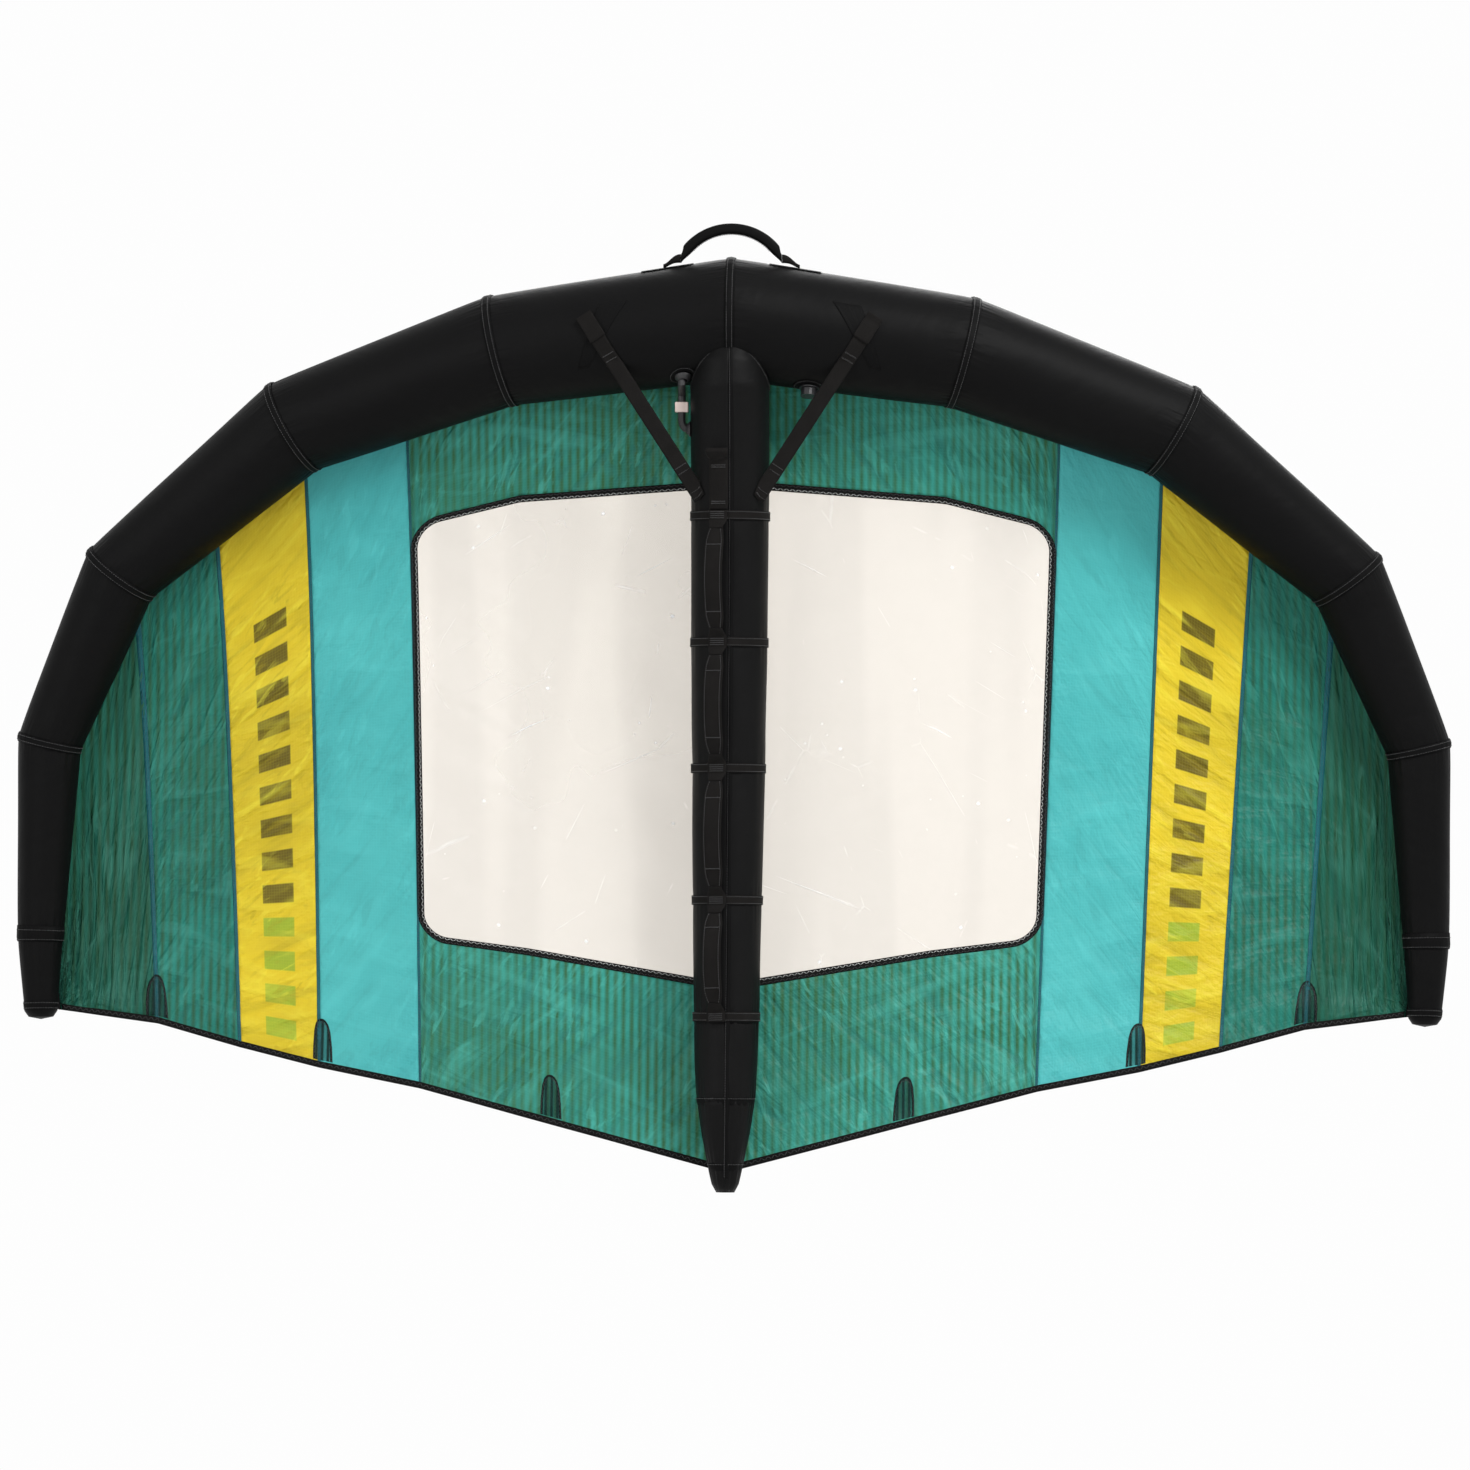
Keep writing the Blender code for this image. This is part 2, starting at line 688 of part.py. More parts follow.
def strut_bladder():
    """Open at its neck, where the hose joins it, and closed at the tail."""
    inset = SLEEVE_WALL + STRUT_BLADDER_PLAY
    shoulder = STRUT_DROPS[STRUT_SHOULDER] + BLADDER_SHOULDER
    neck = [Vector((BLADDER_NECK * math.sin(math.radians(d)),
                    table_at(STRUT_DROPS, STRUT_AXIS_Y, shoulder)
                    - BLADDER_NECK * math.cos(math.radians(d)),
                    LE_AXIS_Z - shoulder + reach))
            for reach in (BLADDER_NECK_LENGTH, BLADDER_NECK_LENGTH / 2)
            for d in corner_degrees(STRUT_SIDES)]
    rings = [neck[:STRUT_SIDES], neck[STRUT_SIDES:], strut_ring(shoulder, inset)]
    tail = STRUT_SEAMS[-1] - GAP
    rings += [strut_ring(drop, inset) for drop in STRUT_DROPS if shoulder < drop < tail]
    pole = strut_point(tail, 0.0, -table_at(STRUT_DROPS, STRUT_RADII, tail))
    mesh = loft([ring[::2] for ring in rings], end_pole=pole)
    return thicken(place("strut_bladder", mesh, BLADDER_FILM), BLADDER_WALL)


# Webbing bands, their feet and the grab handles between them

BANDS = [CHORD * share for share in BAND_DROP_SHARES]
HANDLE_POINTS = [strut_point(drop, HANDLE_TURN_DEG, HANDLE_AXIS_HEIGHT) for drop in BANDS]
TURN = math.radians(HANDLE_TURN_DEG)
HANDLE_OUT = Vector((math.sin(TURN), -math.cos(TURN), 0.0))


def handle_frame(a, b):
    """Along the handle, outward from the strut, and across."""
    run = (b - a).normalized()
    out = (HANDLE_OUT - HANDLE_OUT.dot(run) * run).normalized()
    return run, out, run.cross(out)


def flat_ring(centre, out, across, half_width, half_thick):
    """Eight points round a rounded rectangle."""
    soft = half_thick / 2
    shape = ((-half_width, -soft), (-half_width + soft, -half_thick),
             (half_width - soft, -half_thick), (half_width, -soft),
             (half_width, soft), (half_width - soft, half_thick),
             (-half_width + soft, half_thick), (-half_width, soft))
    return [centre + w * across + h * out for w, h in shape]


def strut_band(number):
    """A webbing band sewn round the strut, with the foot that carries the handles' ends."""
    drop = BANDS[number - 1]
    lift = BAND_SEAT + BAND_THICKNESS / 2
    angles = [d - 180.0 for d in corner_degrees(STRUT_SIDES) if abs(d - 180.0) < BAND_REACH_DEG]
    grid = [[strut_point(drop + reach, d, lift) for reach in (-BAND_WIDTH / 2, BAND_WIDTH / 2)]
            for d in angles]
    band = baked(sheet(f"strut_band_{number}", grid, BLACK_WEBBING, BAND_THICKNESS))
    before = HANDLE_POINTS[max(number - 2, 0)]
    after = HANDLE_POINTS[min(number, len(BANDS) - 1)]
    run, out, across = handle_frame(before, after)
    middle = HANDLE_POINTS[number - 1]
    half_thick = HANDLE_THICKNESS / 2
    base = BAND_SEAT + BAND_THICKNESS - FOOT_SINK + half_thick - HANDLE_AXIS_HEIGHT
    flat = BAND_WIDTH / 2
    climb = (FOOT_REACH - flat) / 2
    rows = [(-flat, base, HANDLE_WIDTH), (flat, base, HANDLE_WIDTH)]
    if number < len(BANDS):
        rows += [(flat + climb, base * FOOT_CLIMB_SHARE, HANDLE_END_WIDTH),
                 (FOOT_REACH, 0.0, HANDLE_END_WIDTH)]
    if number > 1:
        rows = [(-FOOT_REACH, 0.0, HANDLE_END_WIDTH),
                (-flat - climb, base * FOOT_CLIMB_SHARE, HANDLE_END_WIDTH), *rows]
    rings = [flat_ring(middle + reach * run + height * out, out, across, width / 2, half_thick)
             for reach, height, width in rows]
    foot = cutter(f"strut_band_foot_{number}", loft(rings, start_cap=True, end_cap=True))
    return boolean(band, foot, "UNION")


def grab_handle(number):
    """A padded webbing handle that swings about the line through its two ends."""
    a, b = HANDLE_POINTS[number - 1], HANDLE_POINTS[number]
    run, out, across = handle_frame(a, b)
    trim = FOOT_REACH + FOOT_RUNNING_GAP
    start, end = a + run * trim, b - run * trim
    steps = HANDLE_STEPS
    rings = []
    for k in range(steps + 1):
        bow = math.sin(math.pi * k / steps) ** HANDLE_BOW_SHARE if 0 < k < steps else 0.0
        width = lerp(HANDLE_END_WIDTH, HANDLE_WIDTH, min(1.0, 2 * bow))
        centre = lerp(start, end, k / steps) + out * HANDLE_ARCH * bow
        rings.append(flat_ring(centre, out, across, width / 2, HANDLE_THICKNESS / 2))
    mesh = loft(rings, start_cap=True, end_cap=True)
    return place(f"grab_handle_{number}", mesh, BLACK_WEBBING, 50.0)


def webbing_tail():
    """The front end of the handle webbing, sewn flat to the strut with its fold standing up."""
    spread = math.degrees(HANDLE_WIDTH / 2 / STRUT_RADIUS)
    end = BANDS[0] - BAND_WIDTH / 2 - 2 * SEAT - GAP
    lift = SEAT + TAIL_THICKNESS / 2
    rows = [(TAIL_LOOP * down, lift + TAIL_LOOP * up) for down, up in TAIL_ROW_SHARES]
    rows += [(TAIL_LENGTH / 2, lift), (TAIL_LENGTH, lift)]
    across = [HANDLE_TURN_DEG + spread * k / 2 for k in range(-2, 3)]
    grid = [[strut_point(end - TAIL_LENGTH + down, d, height) for d in across]
            for down, height in rows]
    return sheet("handle_webbing_tail", grid, BLACK_WEBBING, TAIL_THICKNESS)


# Front handle


def station_at_x(x, degrees):
    """Where on the first section a line along the tube reaches x."""
    return x / le_point(1.0, degrees).x


FRONT_AXIS_Z = le_point(station_at_x(FRONT_HANDLE_HALF, 180.0), 180.0).z + FRONT_AXIS_HEIGHT


def oval_ring(centre, up, half_depth, half_thick, sides=12):
    back = Vector((0.0, 1.0, 0.0))
    turns = [2 * math.pi * k / sides for k in range(sides)]
    return [centre + half_depth * math.cos(a) * back + half_thick * math.sin(a) * up for a in turns]


def front_handle():
    steps = FRONT_HANDLE_STEPS
    path = []
    for k in range(steps + 1):
        a = math.pi * k / steps
        reach = FRONT_HANDLE_HALF if k in (0, steps) else FRONT_HANDLE_HALF - FRONT_HANDLE_THICK / 2
        rise = FRONT_HANDLE_RISE * math.sin(a) ** FRONT_HANDLE_POWER_SHARE if 0 < k < steps else 0.0
        path.append(Vector((-reach * math.cos(a), 0.0, FRONT_AXIS_Z + rise)))
    rings = []
    for k, point in enumerate(path):
        if k in (0, steps):
            up = Vector((0.0, 0.0, 1.0))
        else:
            run = (path[k + 1] - path[k - 1]).normalized()
            up = Vector((-run.z, 0.0, run.x))
        swell = min(1.0, FRONT_HANDLE_SWELL_SHARE * math.sin(math.pi * k / steps))
        share = lerp(FRONT_HANDLE_END_SHARE, 1.0, swell)
        rings.append(oval_ring(point, up, FRONT_HANDLE_DEPTH / 2 * share,
                               FRONT_HANDLE_THICK / 2 * share))
    return place("front_handle", loft(rings, start_cap=True, end_cap=True), BLACK_WEBBING, 50.0)


def front_handle_foot(label, side):
    """Sewn to the top of the tube, rising to the handle's end."""
    start = FRONT_HANDLE_HALF + FOOT_RUNNING_GAP
    end_depth = FRONT_HANDLE_DEPTH / 2 * FRONT_HANDLE_END_SHARE
    end_thick = FRONT_HANDLE_THICK / 2 * FRONT_HANDLE_END_SHARE
    rings = []
    for share in (0.0, 0.25, 0.5, 0.75, 1.0):
        x = start + FRONT_FOOT_LENGTH * share
        top = le_point(station_at_x(x, 180.0), 180.0)
        fall = share * share * (3 - 2 * share)
        thick = lerp(end_thick, FRONT_FOOT_TAIL / 2, fall)
        height = lerp(FRONT_AXIS_Z, top.z + SEAT + thick, fall)
        centre = Vector((side * x, lerp(0.0, top.y, fall), height))
        depth = end_depth * (1 + FRONT_FOOT_FLARE_SHARE * share)
        rings.append(oval_ring(centre, Vector((0.0, 0.0, 1.0)), depth, thick))
    mesh = loft(rings, start_cap=True, end_cap=True)
    return place(f"front_handle_foot_{label}", mesh, BLACK_WEBBING, 50.0)


# Bracing straps


def clear_of_tubes(point, lift):
    """The point pushed out of the leading edge and the strut where it would lie in them."""
    corner = 1.0 / math.cos(math.pi / LE_SIDES)
    run = LE_AXIS[1] - LE_AXIS[0]
    t = (point - LE_AXIS[0]).dot(run) / run.length_squared
    axis = lerp(LE_AXIS[0], LE_AXIS[1], t)
    off = point - axis
    least = lerp(LE_RADII[0], LE_RADII[1], t) * corner + lift
    if off.length < least:
        point = axis + off.normalized() * least
    drop = LE_AXIS_Z - point.z
    if drop > STRUT_DROPS[0]:
        middle = table_at(STRUT_DROPS, STRUT_AXIS_Y, drop)
        off = Vector((point.x, point.y - middle, 0.0))
        least = table_at(STRUT_DROPS, STRUT_RADII, drop) * corner + lift
        if off.length < least:
            point = Vector((0.0, middle, point.z)) + off.normalized() * least
    return point


def bracing_strap(label, side):
    """Webbing from the tube's front to the strut's flank, sewn down at both ends."""
    step = STRAP_FOOT_DROP / STRAP_STEPS
    lift = SEAT + STRAP_THICKNESS / 2 + step * step / (8 * STRUT_RADIUS)
    station = STRAP_TOP_X / LE_AXIS[1].x
    axis = lerp(LE_AXIS[0], LE_AXIS[1], station)
    radius = lerp(LE_RADII[0], LE_RADII[1], station)
    rise = LE_AXIS_Z - STRAP_TOP_DROP - axis.z
    top = Vector((STRAP_TOP_X, axis.y - math.sqrt(radius * radius - rise * rise) - lift,
                  axis.z + rise))
    middle = table_at(STRUT_DROPS, STRUT_AXIS_Y, STRAP_FOOT_DROP)
    reach = table_at(STRUT_DROPS, STRUT_RADII, STRAP_FOOT_DROP)
    foot = Vector((STRAP_FOOT_X, middle - math.sqrt(reach * reach - STRAP_FOOT_X * STRAP_FOOT_X),
                   LE_AXIS_Z - STRAP_FOOT_DROP))
    run = (foot - top).normalized()
    across = run.cross(Vector((0.0, -1.0, 0.0))).normalized()
    grid = []
    for k in range(STRAP_STEPS + 1):
        centre = lerp(top, foot, k / STRAP_STEPS)
        row = [clear_of_tubes(centre + across * STRAP_WIDTH * w, lift)
               for w in (-0.5, -0.25, 0.0, 0.25, 0.5)]
        grid.append([Vector((side * p.x, p.y, p.z)) for p in row])
    return sheet(f"bracing_strap_{label}", grid, BLACK_WEBBING, STRAP_THICKNESS)


# Inflation valve and cap

VALVE_FOOT = le_point(VALVE_STATION_SHARE, VALVE_DEG)
VALVE_UP = le_normal(VALVE_STATION_SHARE, VALVE_DEG)
VALVE_SEAT = 2 * GAP


def valve():
    top = VALVE_SEAT + VALVE_FLANGE + VALVE_NECK
    shelf = VALVE_SEAT + VALVE_FLANGE
    profile = ((VALVE_NECK_RADIUS, top), (VALVE_NECK_RADIUS, shelf), (VALVE_FLANGE_RADIUS, shelf),
               (VALVE_FLANGE_RADIUS, VALVE_SEAT), (VALVE_STEM_RADIUS, VALVE_SEAT),
               (VALVE_STEM_RADIUS, -VALVE_STEM), (VALVE_BORE, -VALVE_STEM), (VALVE_BORE, top))
    body = turned("inflation_valve", profile, VALVE_FOOT, VALVE_UP, DARK_PLASTIC)
    inside = CAP_RADIUS - CAP_WALL
    low = shelf + CAP_PLAY
    high = top + CAP_PLAY
    lid = ((0.0, high + CAP_WALL), (CAP_RADIUS, high + CAP_WALL), (CAP_RADIUS, low),
           (inside, low), (inside, high), (0.0, high))
    cap = turned("valve_cap", lid, VALVE_FOOT, VALVE_UP, DARK_PLASTIC)
    return body, cap


def cut_valve_hole(obj, label):
    reach = VALVE_UP * (VALVE_STEM + VALVE_NECK)
    hole = cylinder_mesh(VALVE_FOOT - reach, VALVE_FOOT + reach, VALVE_STEM_RADIUS + GAP)
    return boolean(baked(obj), cutter(f"valve_hole_cutter_{label}", hole))


# Hose between the bladders, and its pinch clip

HOSE_X = -(STRUT_RADIUS + HOSE_OFFSET)
HOSE_DROP = CHORD * HOSE_DROP_SHARE
HOSE_Y = table_at(STRUT_DROPS, STRUT_AXIS_Y, HOSE_DROP)
HOSE_TOP = le_point(station_at_x(-HOSE_X, HOSE_DEG), HOSE_DEG, -GAP, SIDES["left"])
HOSE_UP = le_normal(station_at_x(-HOSE_X, HOSE_DEG), HOSE_DEG, SIDES["left"])


def hose_route():
    """Out of the tube, straight down beside the strut, and round into its flank."""
    out = HOSE_TOP + HOSE_UP * HOSE_OFFSET
    low = LE_AXIS_Z - HOSE_DROP + HOSE_OFFSET
    route = [HOSE_TOP, out, Vector((HOSE_X, HOSE_Y, out.z - HOSE_OFFSET)),
             Vector((HOSE_X, HOSE_Y, low))]
    travel = STRUT_RADIUS + HOSE_OFFSET - table_at(STRUT_DROPS, STRUT_RADII, HOSE_DROP) - 2 * SEAT
    bend = travel * HOSE_BEND_SHARE
    for k in range(1, 5):
        a = math.pi / 2 * k / 4
        route.append(Vector((HOSE_X + bend * (1 - math.cos(a)), HOSE_Y,
                             low - HOSE_OFFSET * math.sin(a))))
    route.append(Vector((HOSE_X + travel, HOSE_Y, low - HOSE_OFFSET)))
    return route


def bladder_hose():
    curve = bpy.data.curves.new("hose_route", "CURVE")
    curve.dimensions = "3D"
    curve.bevel_depth = HOSE_RADIUS
    curve.bevel_resolution = 3
    points = hose_route()
    line = curve.splines.new("POLY")
    line.points.add(len(points) - 1)
    for spot, point in zip(line.points, points):
        spot.co = (*point, 1.0)
    guide = bpy.data.objects.new("hose_guide", curve)
    CUTTERS.objects.link(guide)
    bpy.context.view_layer.update()
    mesh = bpy.data.meshes.new_from_object(guide.evaluated_get(bpy.context.evaluated_depsgraph_get()))
    bpy.data.objects.remove(guide)
    bm = bmesh.new()
    bm.from_mesh(mesh)
    bmesh.ops.remove_doubles(bm, verts=bm.verts, dist=0.00005)
    bmesh.ops.recalc_face_normals(bm, faces=bm.faces)
    bm.to_mesh(mesh)
    bm.free()
    return thicken(place("bladder_hose", mesh, DARK_PLASTIC), HOSE_WALL)


def pinch_clip():
    """A collar on the hose's straight run, which slides along it."""
    route = hose_route()
    middle = (route[2] + route[3]) / 2
    bm = bmesh.new()
    bmesh.ops.create_cube(bm, size=1.0)
    for v in bm.verts:
        v.co = Vector((v.co.x * CLIP_WIDTH, v.co.y * CLIP_DEPTH, v.co.z * CLIP_LENGTH))
    mesh = bpy.data.meshes.new("clip")
    bm.to_mesh(mesh)
    bm.free()
    mesh.transform(Matrix.Translation(middle))
    clip = place("pinch_clip", mesh, PALE_PLASTIC, 30.0)
    soft = clip.modifiers.new("edges", "BEVEL")
    soft.width = CLIP_PLAY * 3
    soft.segments = 2
    reach = Vector((0.0, 0.0, CLIP_LENGTH))
    bore = cylinder_mesh(middle - reach, middle + reach, HOSE_RADIUS + CLIP_PLAY)
    return boolean(baked(clip), cutter("clip_bore_cutter", bore))


# The wing

le_bladder_obj = le_bladder()
cut_valve_hole(le_bladder_obj, "bladder")
for label, side in SIDES.items():
    for section in range(LE_LAST):
        sleeve = sleeve_section(label, side, section)
        if label == "right" and section == 0:
            cut_valve_hole(sleeve, "sleeve")
    centre_panels(label, side)
    window_pane(label, side)
    window_binding(label, side)
    for panel, steps in ((1, 3), (2, 3), (3, 3), (4, 8)):
        outer_panel(label, side, panel, steps)
    for number, seam in enumerate(POCKET_SEAM_SHARES, 1):
        batten_pocket(label, side, number, seam)
    front_handle_foot(label, side)
    bracing_strap(label, side)
trailing_hem()
strut_sleeves()
strut_bladder()
for number in range(1, len(BANDS) + 1):
    strut_band(number)
for number in range(1, len(BANDS)):
    grab_handle(number)
webbing_tail()
front_handle()
valve()
bladder_hose()
pinch_clip()
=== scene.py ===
"""Looks of the wingfoil wing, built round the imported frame: cloth, film, webbing, seams and stitches.

X runs along the span, -Y faces the camera and the rider, and Z runs up to the leading edge. Metres.
A place on the leading edge is (station, degrees): stations count the mitre seams from the centre
line, 0 degrees faces the wing, 90 its back and 270 the rider. A place on the canopy is (v, s):
v counts panels from the centre line and s runs from the tube to the trailing edge.
"""

import logging
import math
from contextlib import contextmanager
from dataclasses import dataclass, field
from enum import Enum
from typing import Callable, Dict, Iterator, List, Optional, Sequence, Tuple, Union

import bmesh
import bpy
import numpy as np
from mathutils import Matrix, Vector


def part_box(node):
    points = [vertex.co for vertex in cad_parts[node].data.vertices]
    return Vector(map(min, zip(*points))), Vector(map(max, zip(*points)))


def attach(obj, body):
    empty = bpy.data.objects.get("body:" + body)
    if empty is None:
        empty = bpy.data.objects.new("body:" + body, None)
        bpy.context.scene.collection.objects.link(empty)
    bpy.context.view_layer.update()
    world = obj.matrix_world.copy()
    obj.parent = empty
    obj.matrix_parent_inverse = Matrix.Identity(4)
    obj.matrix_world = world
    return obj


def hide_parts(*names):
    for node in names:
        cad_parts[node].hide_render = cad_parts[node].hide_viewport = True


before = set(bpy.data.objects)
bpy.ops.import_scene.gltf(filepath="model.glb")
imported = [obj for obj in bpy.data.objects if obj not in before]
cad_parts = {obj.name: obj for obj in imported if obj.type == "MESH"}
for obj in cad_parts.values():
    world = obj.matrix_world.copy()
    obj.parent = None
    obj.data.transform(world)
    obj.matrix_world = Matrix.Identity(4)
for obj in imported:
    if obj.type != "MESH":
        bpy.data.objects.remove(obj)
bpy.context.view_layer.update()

log = logging.getLogger("wing")

Array = np.ndarray
Place = Callable[[Array, Array], Array]
Triple = Tuple[float, float, float]
Number = Union[Array, float]
Socket = bpy.types.NodeSocket
Value = Union[Socket, float, Triple]
Material = bpy.types.Material

ROOT = "wing"
WHITE = (1.0, 1.0, 1.0)
STAGE_WHITE = (0.985, 0.985, 0.985)
# Directions: the span, the wing's back, the rider in front of it, and up
SPAN = np.array((1.0, 0.0, 0.0))
BACK = np.array((0.0, 1.0, 0.0))
RIDER = np.array((0.0, -1.0, 0.0))
UP = np.array((0.0, 0.0, 1.0))
# How far off a surface its outward direction is measured
OUTWARD = 0.05

# Sizes shared with the part's source
HALF_SPAN = 1.360
CHORD = 1.660
TIP_RISE = 0.243
LE_RADIUS = 0.118
LE_X_SHARES = (0.0, 0.331, 0.632, 0.8846, 0.988, 1.0, 0.998)
LE_DROP_SHARES = (0.0, 0.0373, 0.1259, 0.2982, 0.4976, 0.7277, 0.8139)
LE_RISE_SHARES = (0.0, 0.155, 0.43, 0.78, 0.965, 1.0, 0.98)
LE_RADIUS_SHARES = (1.0, 0.932, 0.814, 0.653, 0.534, 0.385, 0.275)
TIP_DOME_SHARES = ((0.0, 1.0), (0.12, 0.985), (0.22, 0.94), (0.31, 0.87), (0.38, 0.78),
                   (0.45, 0.62), (0.5, 0.45), (0.53, 0.25), (0.54, 0.02))
SEAM_STATION_SHARES = (0.0, 1.56, 2.083, 2.61, 3.17, 5.7)
TE_X_SHARES = (0.0, 0.442, 0.588, 0.704, 0.825, 0.970)
TE_DROP_SHARES = (1.0, 0.9036, 0.880, 0.8566, 0.829, 0.8133)
TE_RISE_SHARES = (-0.06, 0.247, 0.39, 0.535, 0.70, 1.04)
CAMBER_SHARES = (0.030, 0.062, 0.068, 0.070, 0.070, 0.045)
CAMBER_PEAK_SHARE = 0.33
ATTACH_DEG = 30.0
WINDOW_TOP_SHARE = 0.132
WINDOW_BOTTOM_SHARE = 0.773
WINDOW_CORNER = 0.062
BINDING_WIDTH = 0.014
HEM_WIDTH = 0.014
POCKET_SEAM_SHARES = (0.57, 1.97, 3.99)
STRUT_RADIUS = 0.076
STRUT_DROP_SHARES = (0.012, 0.018, 0.030, 0.050, 0.080, 0.150, 0.231, 0.3795, 0.527, 0.681,
                     0.8235, 0.8705, 0.912, 0.951, 0.995, 1.0127, 1.0223)
STRUT_RADIUS_SHARES = (0.02, 0.36, 0.66, 0.87, 1.0, 1.0, 0.993, 0.974, 0.93, 0.879,
                       0.829, 0.803, 0.759, 0.625, 0.434, 0.342, 0.23)
STRUT_SEAM_SHARES = (0.821, 0.916, 0.993)
BLADDER_SHARES = (0.083, 0.990)
STRUT_SHOULDER = 4
BAND_DROP_SHARES = (0.2315, 0.3795, 0.527, 0.6813, 0.8175)
BAND_WIDTH = 0.018
HANDLE_TURN_DEG = -15.0
HANDLE_AXIS_HEIGHT = 0.016
HANDLE_ARCH = 0.022
HANDLE_WIDTH = 0.037
HANDLE_END_WIDTH = 0.027
HANDLE_THICKNESS = 0.0062
FRONT_HANDLE_THICK = 0.022
FRONT_HANDLE_END_SHARE = 0.62
FOOT_REACH = 0.026
CLOTH_LIFT = 0.0009
BAND_LIFT = 0.0016
PATCH_CLOTH = 0.0006
PATCH_LIFT = 0.0004
LE_AXIS_Z = -LE_RADIUS
SIDES = {"left": -1.0, "right": 1.0}
# The yellow band's plain print: sizes in metres of cloth, and how far its ink covers
BLOCK_COLUMN = 0.165
BLOCK_PITCH = 0.066
BLOCK_RUNS = ((0.198, 0.792), (0.792, 1.056))
BLOCK_EDGE = 0.001
BLOCK_INK = 0.9


def lerp(a: Number, b: Number, t: Number) -> Number:
    """The value a share t of the way from a to b."""
    return a + (b - a) * t


def smooth(t: Array) -> Array:
    """0 to 1 with level ends, for t clipped to that range."""
    t = np.clip(t, 0.0, 1.0)
    return t * t * (3.0 - 2.0 * t)


def unit(v: Array) -> Array:
    """Rows of v at length 1."""
    return v / np.maximum(np.linalg.norm(v, axis=-1, keepdims=True), 1e-12)


def table(values: Sequence[float], at: Array) -> Array:
    """Values of an evenly numbered table between its entries."""
    return np.interp(at, np.arange(len(values)), values)


class Ripple:
    """Smooth repeatable noise over two coordinates, about -1 to 1."""

    SIZE = 96

    def __init__(self, seed: int) -> None:
        self.grid = np.random.default_rng(seed).uniform(-1.0, 1.0, (self.SIZE, self.SIZE))

    def __call__(self, u: Array, v: Array) -> Array:
        """Args: u, v: places, one lattice cell to a unit. Returns: noise at each."""
        iu, iv = np.floor(u).astype(int), np.floor(v).astype(int)
        fu, fv = smooth(u - iu), smooth(v - iv)
        a = self.grid[iu % self.SIZE, iv % self.SIZE]
        b = self.grid[(iu + 1) % self.SIZE, iv % self.SIZE]
        c = self.grid[iu % self.SIZE, (iv + 1) % self.SIZE]
        d = self.grid[(iu + 1) % self.SIZE, (iv + 1) % self.SIZE]
        return lerp(lerp(a, b, fu), lerp(c, d, fu), fv)


FOLDS = Ripple(11)


class LeadingTube:
    """The mitred leading edge tube as a surface."""

    def __init__(self) -> None:
        self.axis = np.array([(HALF_SPAN * x, TIP_RISE * y, LE_AXIS_Z - CHORD * d)
                              for x, y, d in zip(LE_X_SHARES, LE_RISE_SHARES, LE_DROP_SHARES)])
        self.radii = LE_RADIUS * np.array(LE_RADIUS_SHARES)
        self.last = len(self.axis) - 1
        runs = unit(np.diff(self.axis, axis=0))
        before = np.vstack([runs[:1] * (1.0, -1.0, -1.0), runs])
        after = np.vstack([runs, runs[-1:]])
        self.run = unit(before + after)
        inward = np.stack([self.run[:, 2], np.zeros(self.last + 1), -self.run[:, 0]], axis=1)
        inward -= (inward * self.run).sum(1, keepdims=True) * self.run
        self.inward = unit(inward)
        back = np.cross(self.inward, self.run)
        self.back = back * np.where(back[:, 1:2] < 0.0, -1.0, 1.0)
        self.cosine = np.maximum((before * self.run).sum(1), 0.5)

    def ring(self, i: Array, degrees: Array, lift: Array) -> Array:
        """Points on the mitre rings of stations i.

        Args: i: stations. degrees: places round the rings. lift: off the surface.
        Returns: the points.
        """
        a = np.radians(degrees)
        radius = self.radii[i] + lift
        across = (radius * np.cos(a) / self.cosine[i])[:, None] * self.inward[i]
        return self.axis[i] + across + (radius * np.sin(a))[:, None] * self.back[i]

    def point(self, station: Array, degrees: Array, lift: Array = 0.0, side: float = 1.0) -> Array:
        """Points on the tube, lifted off its surface.

        Args: station, degrees: places. lift: off the surface. side: -1 for the left.
        Returns: (n, 3) array.
        """
        station, degrees, lift = np.broadcast_arrays(*map(np.atleast_1d, (station, degrees, lift)))
        i = np.clip(np.floor(station).astype(int), 0, self.last - 1)
        made = lerp(self.ring(i, degrees, lift), self.ring(i + 1, degrees, lift), (station - i)[:, None])
        return made * (side, 1.0, 1.0)

    def length(self, i: int) -> float:
        """A section's length along the axis."""
        return float(np.linalg.norm(self.axis[i + 1] - self.axis[i]))


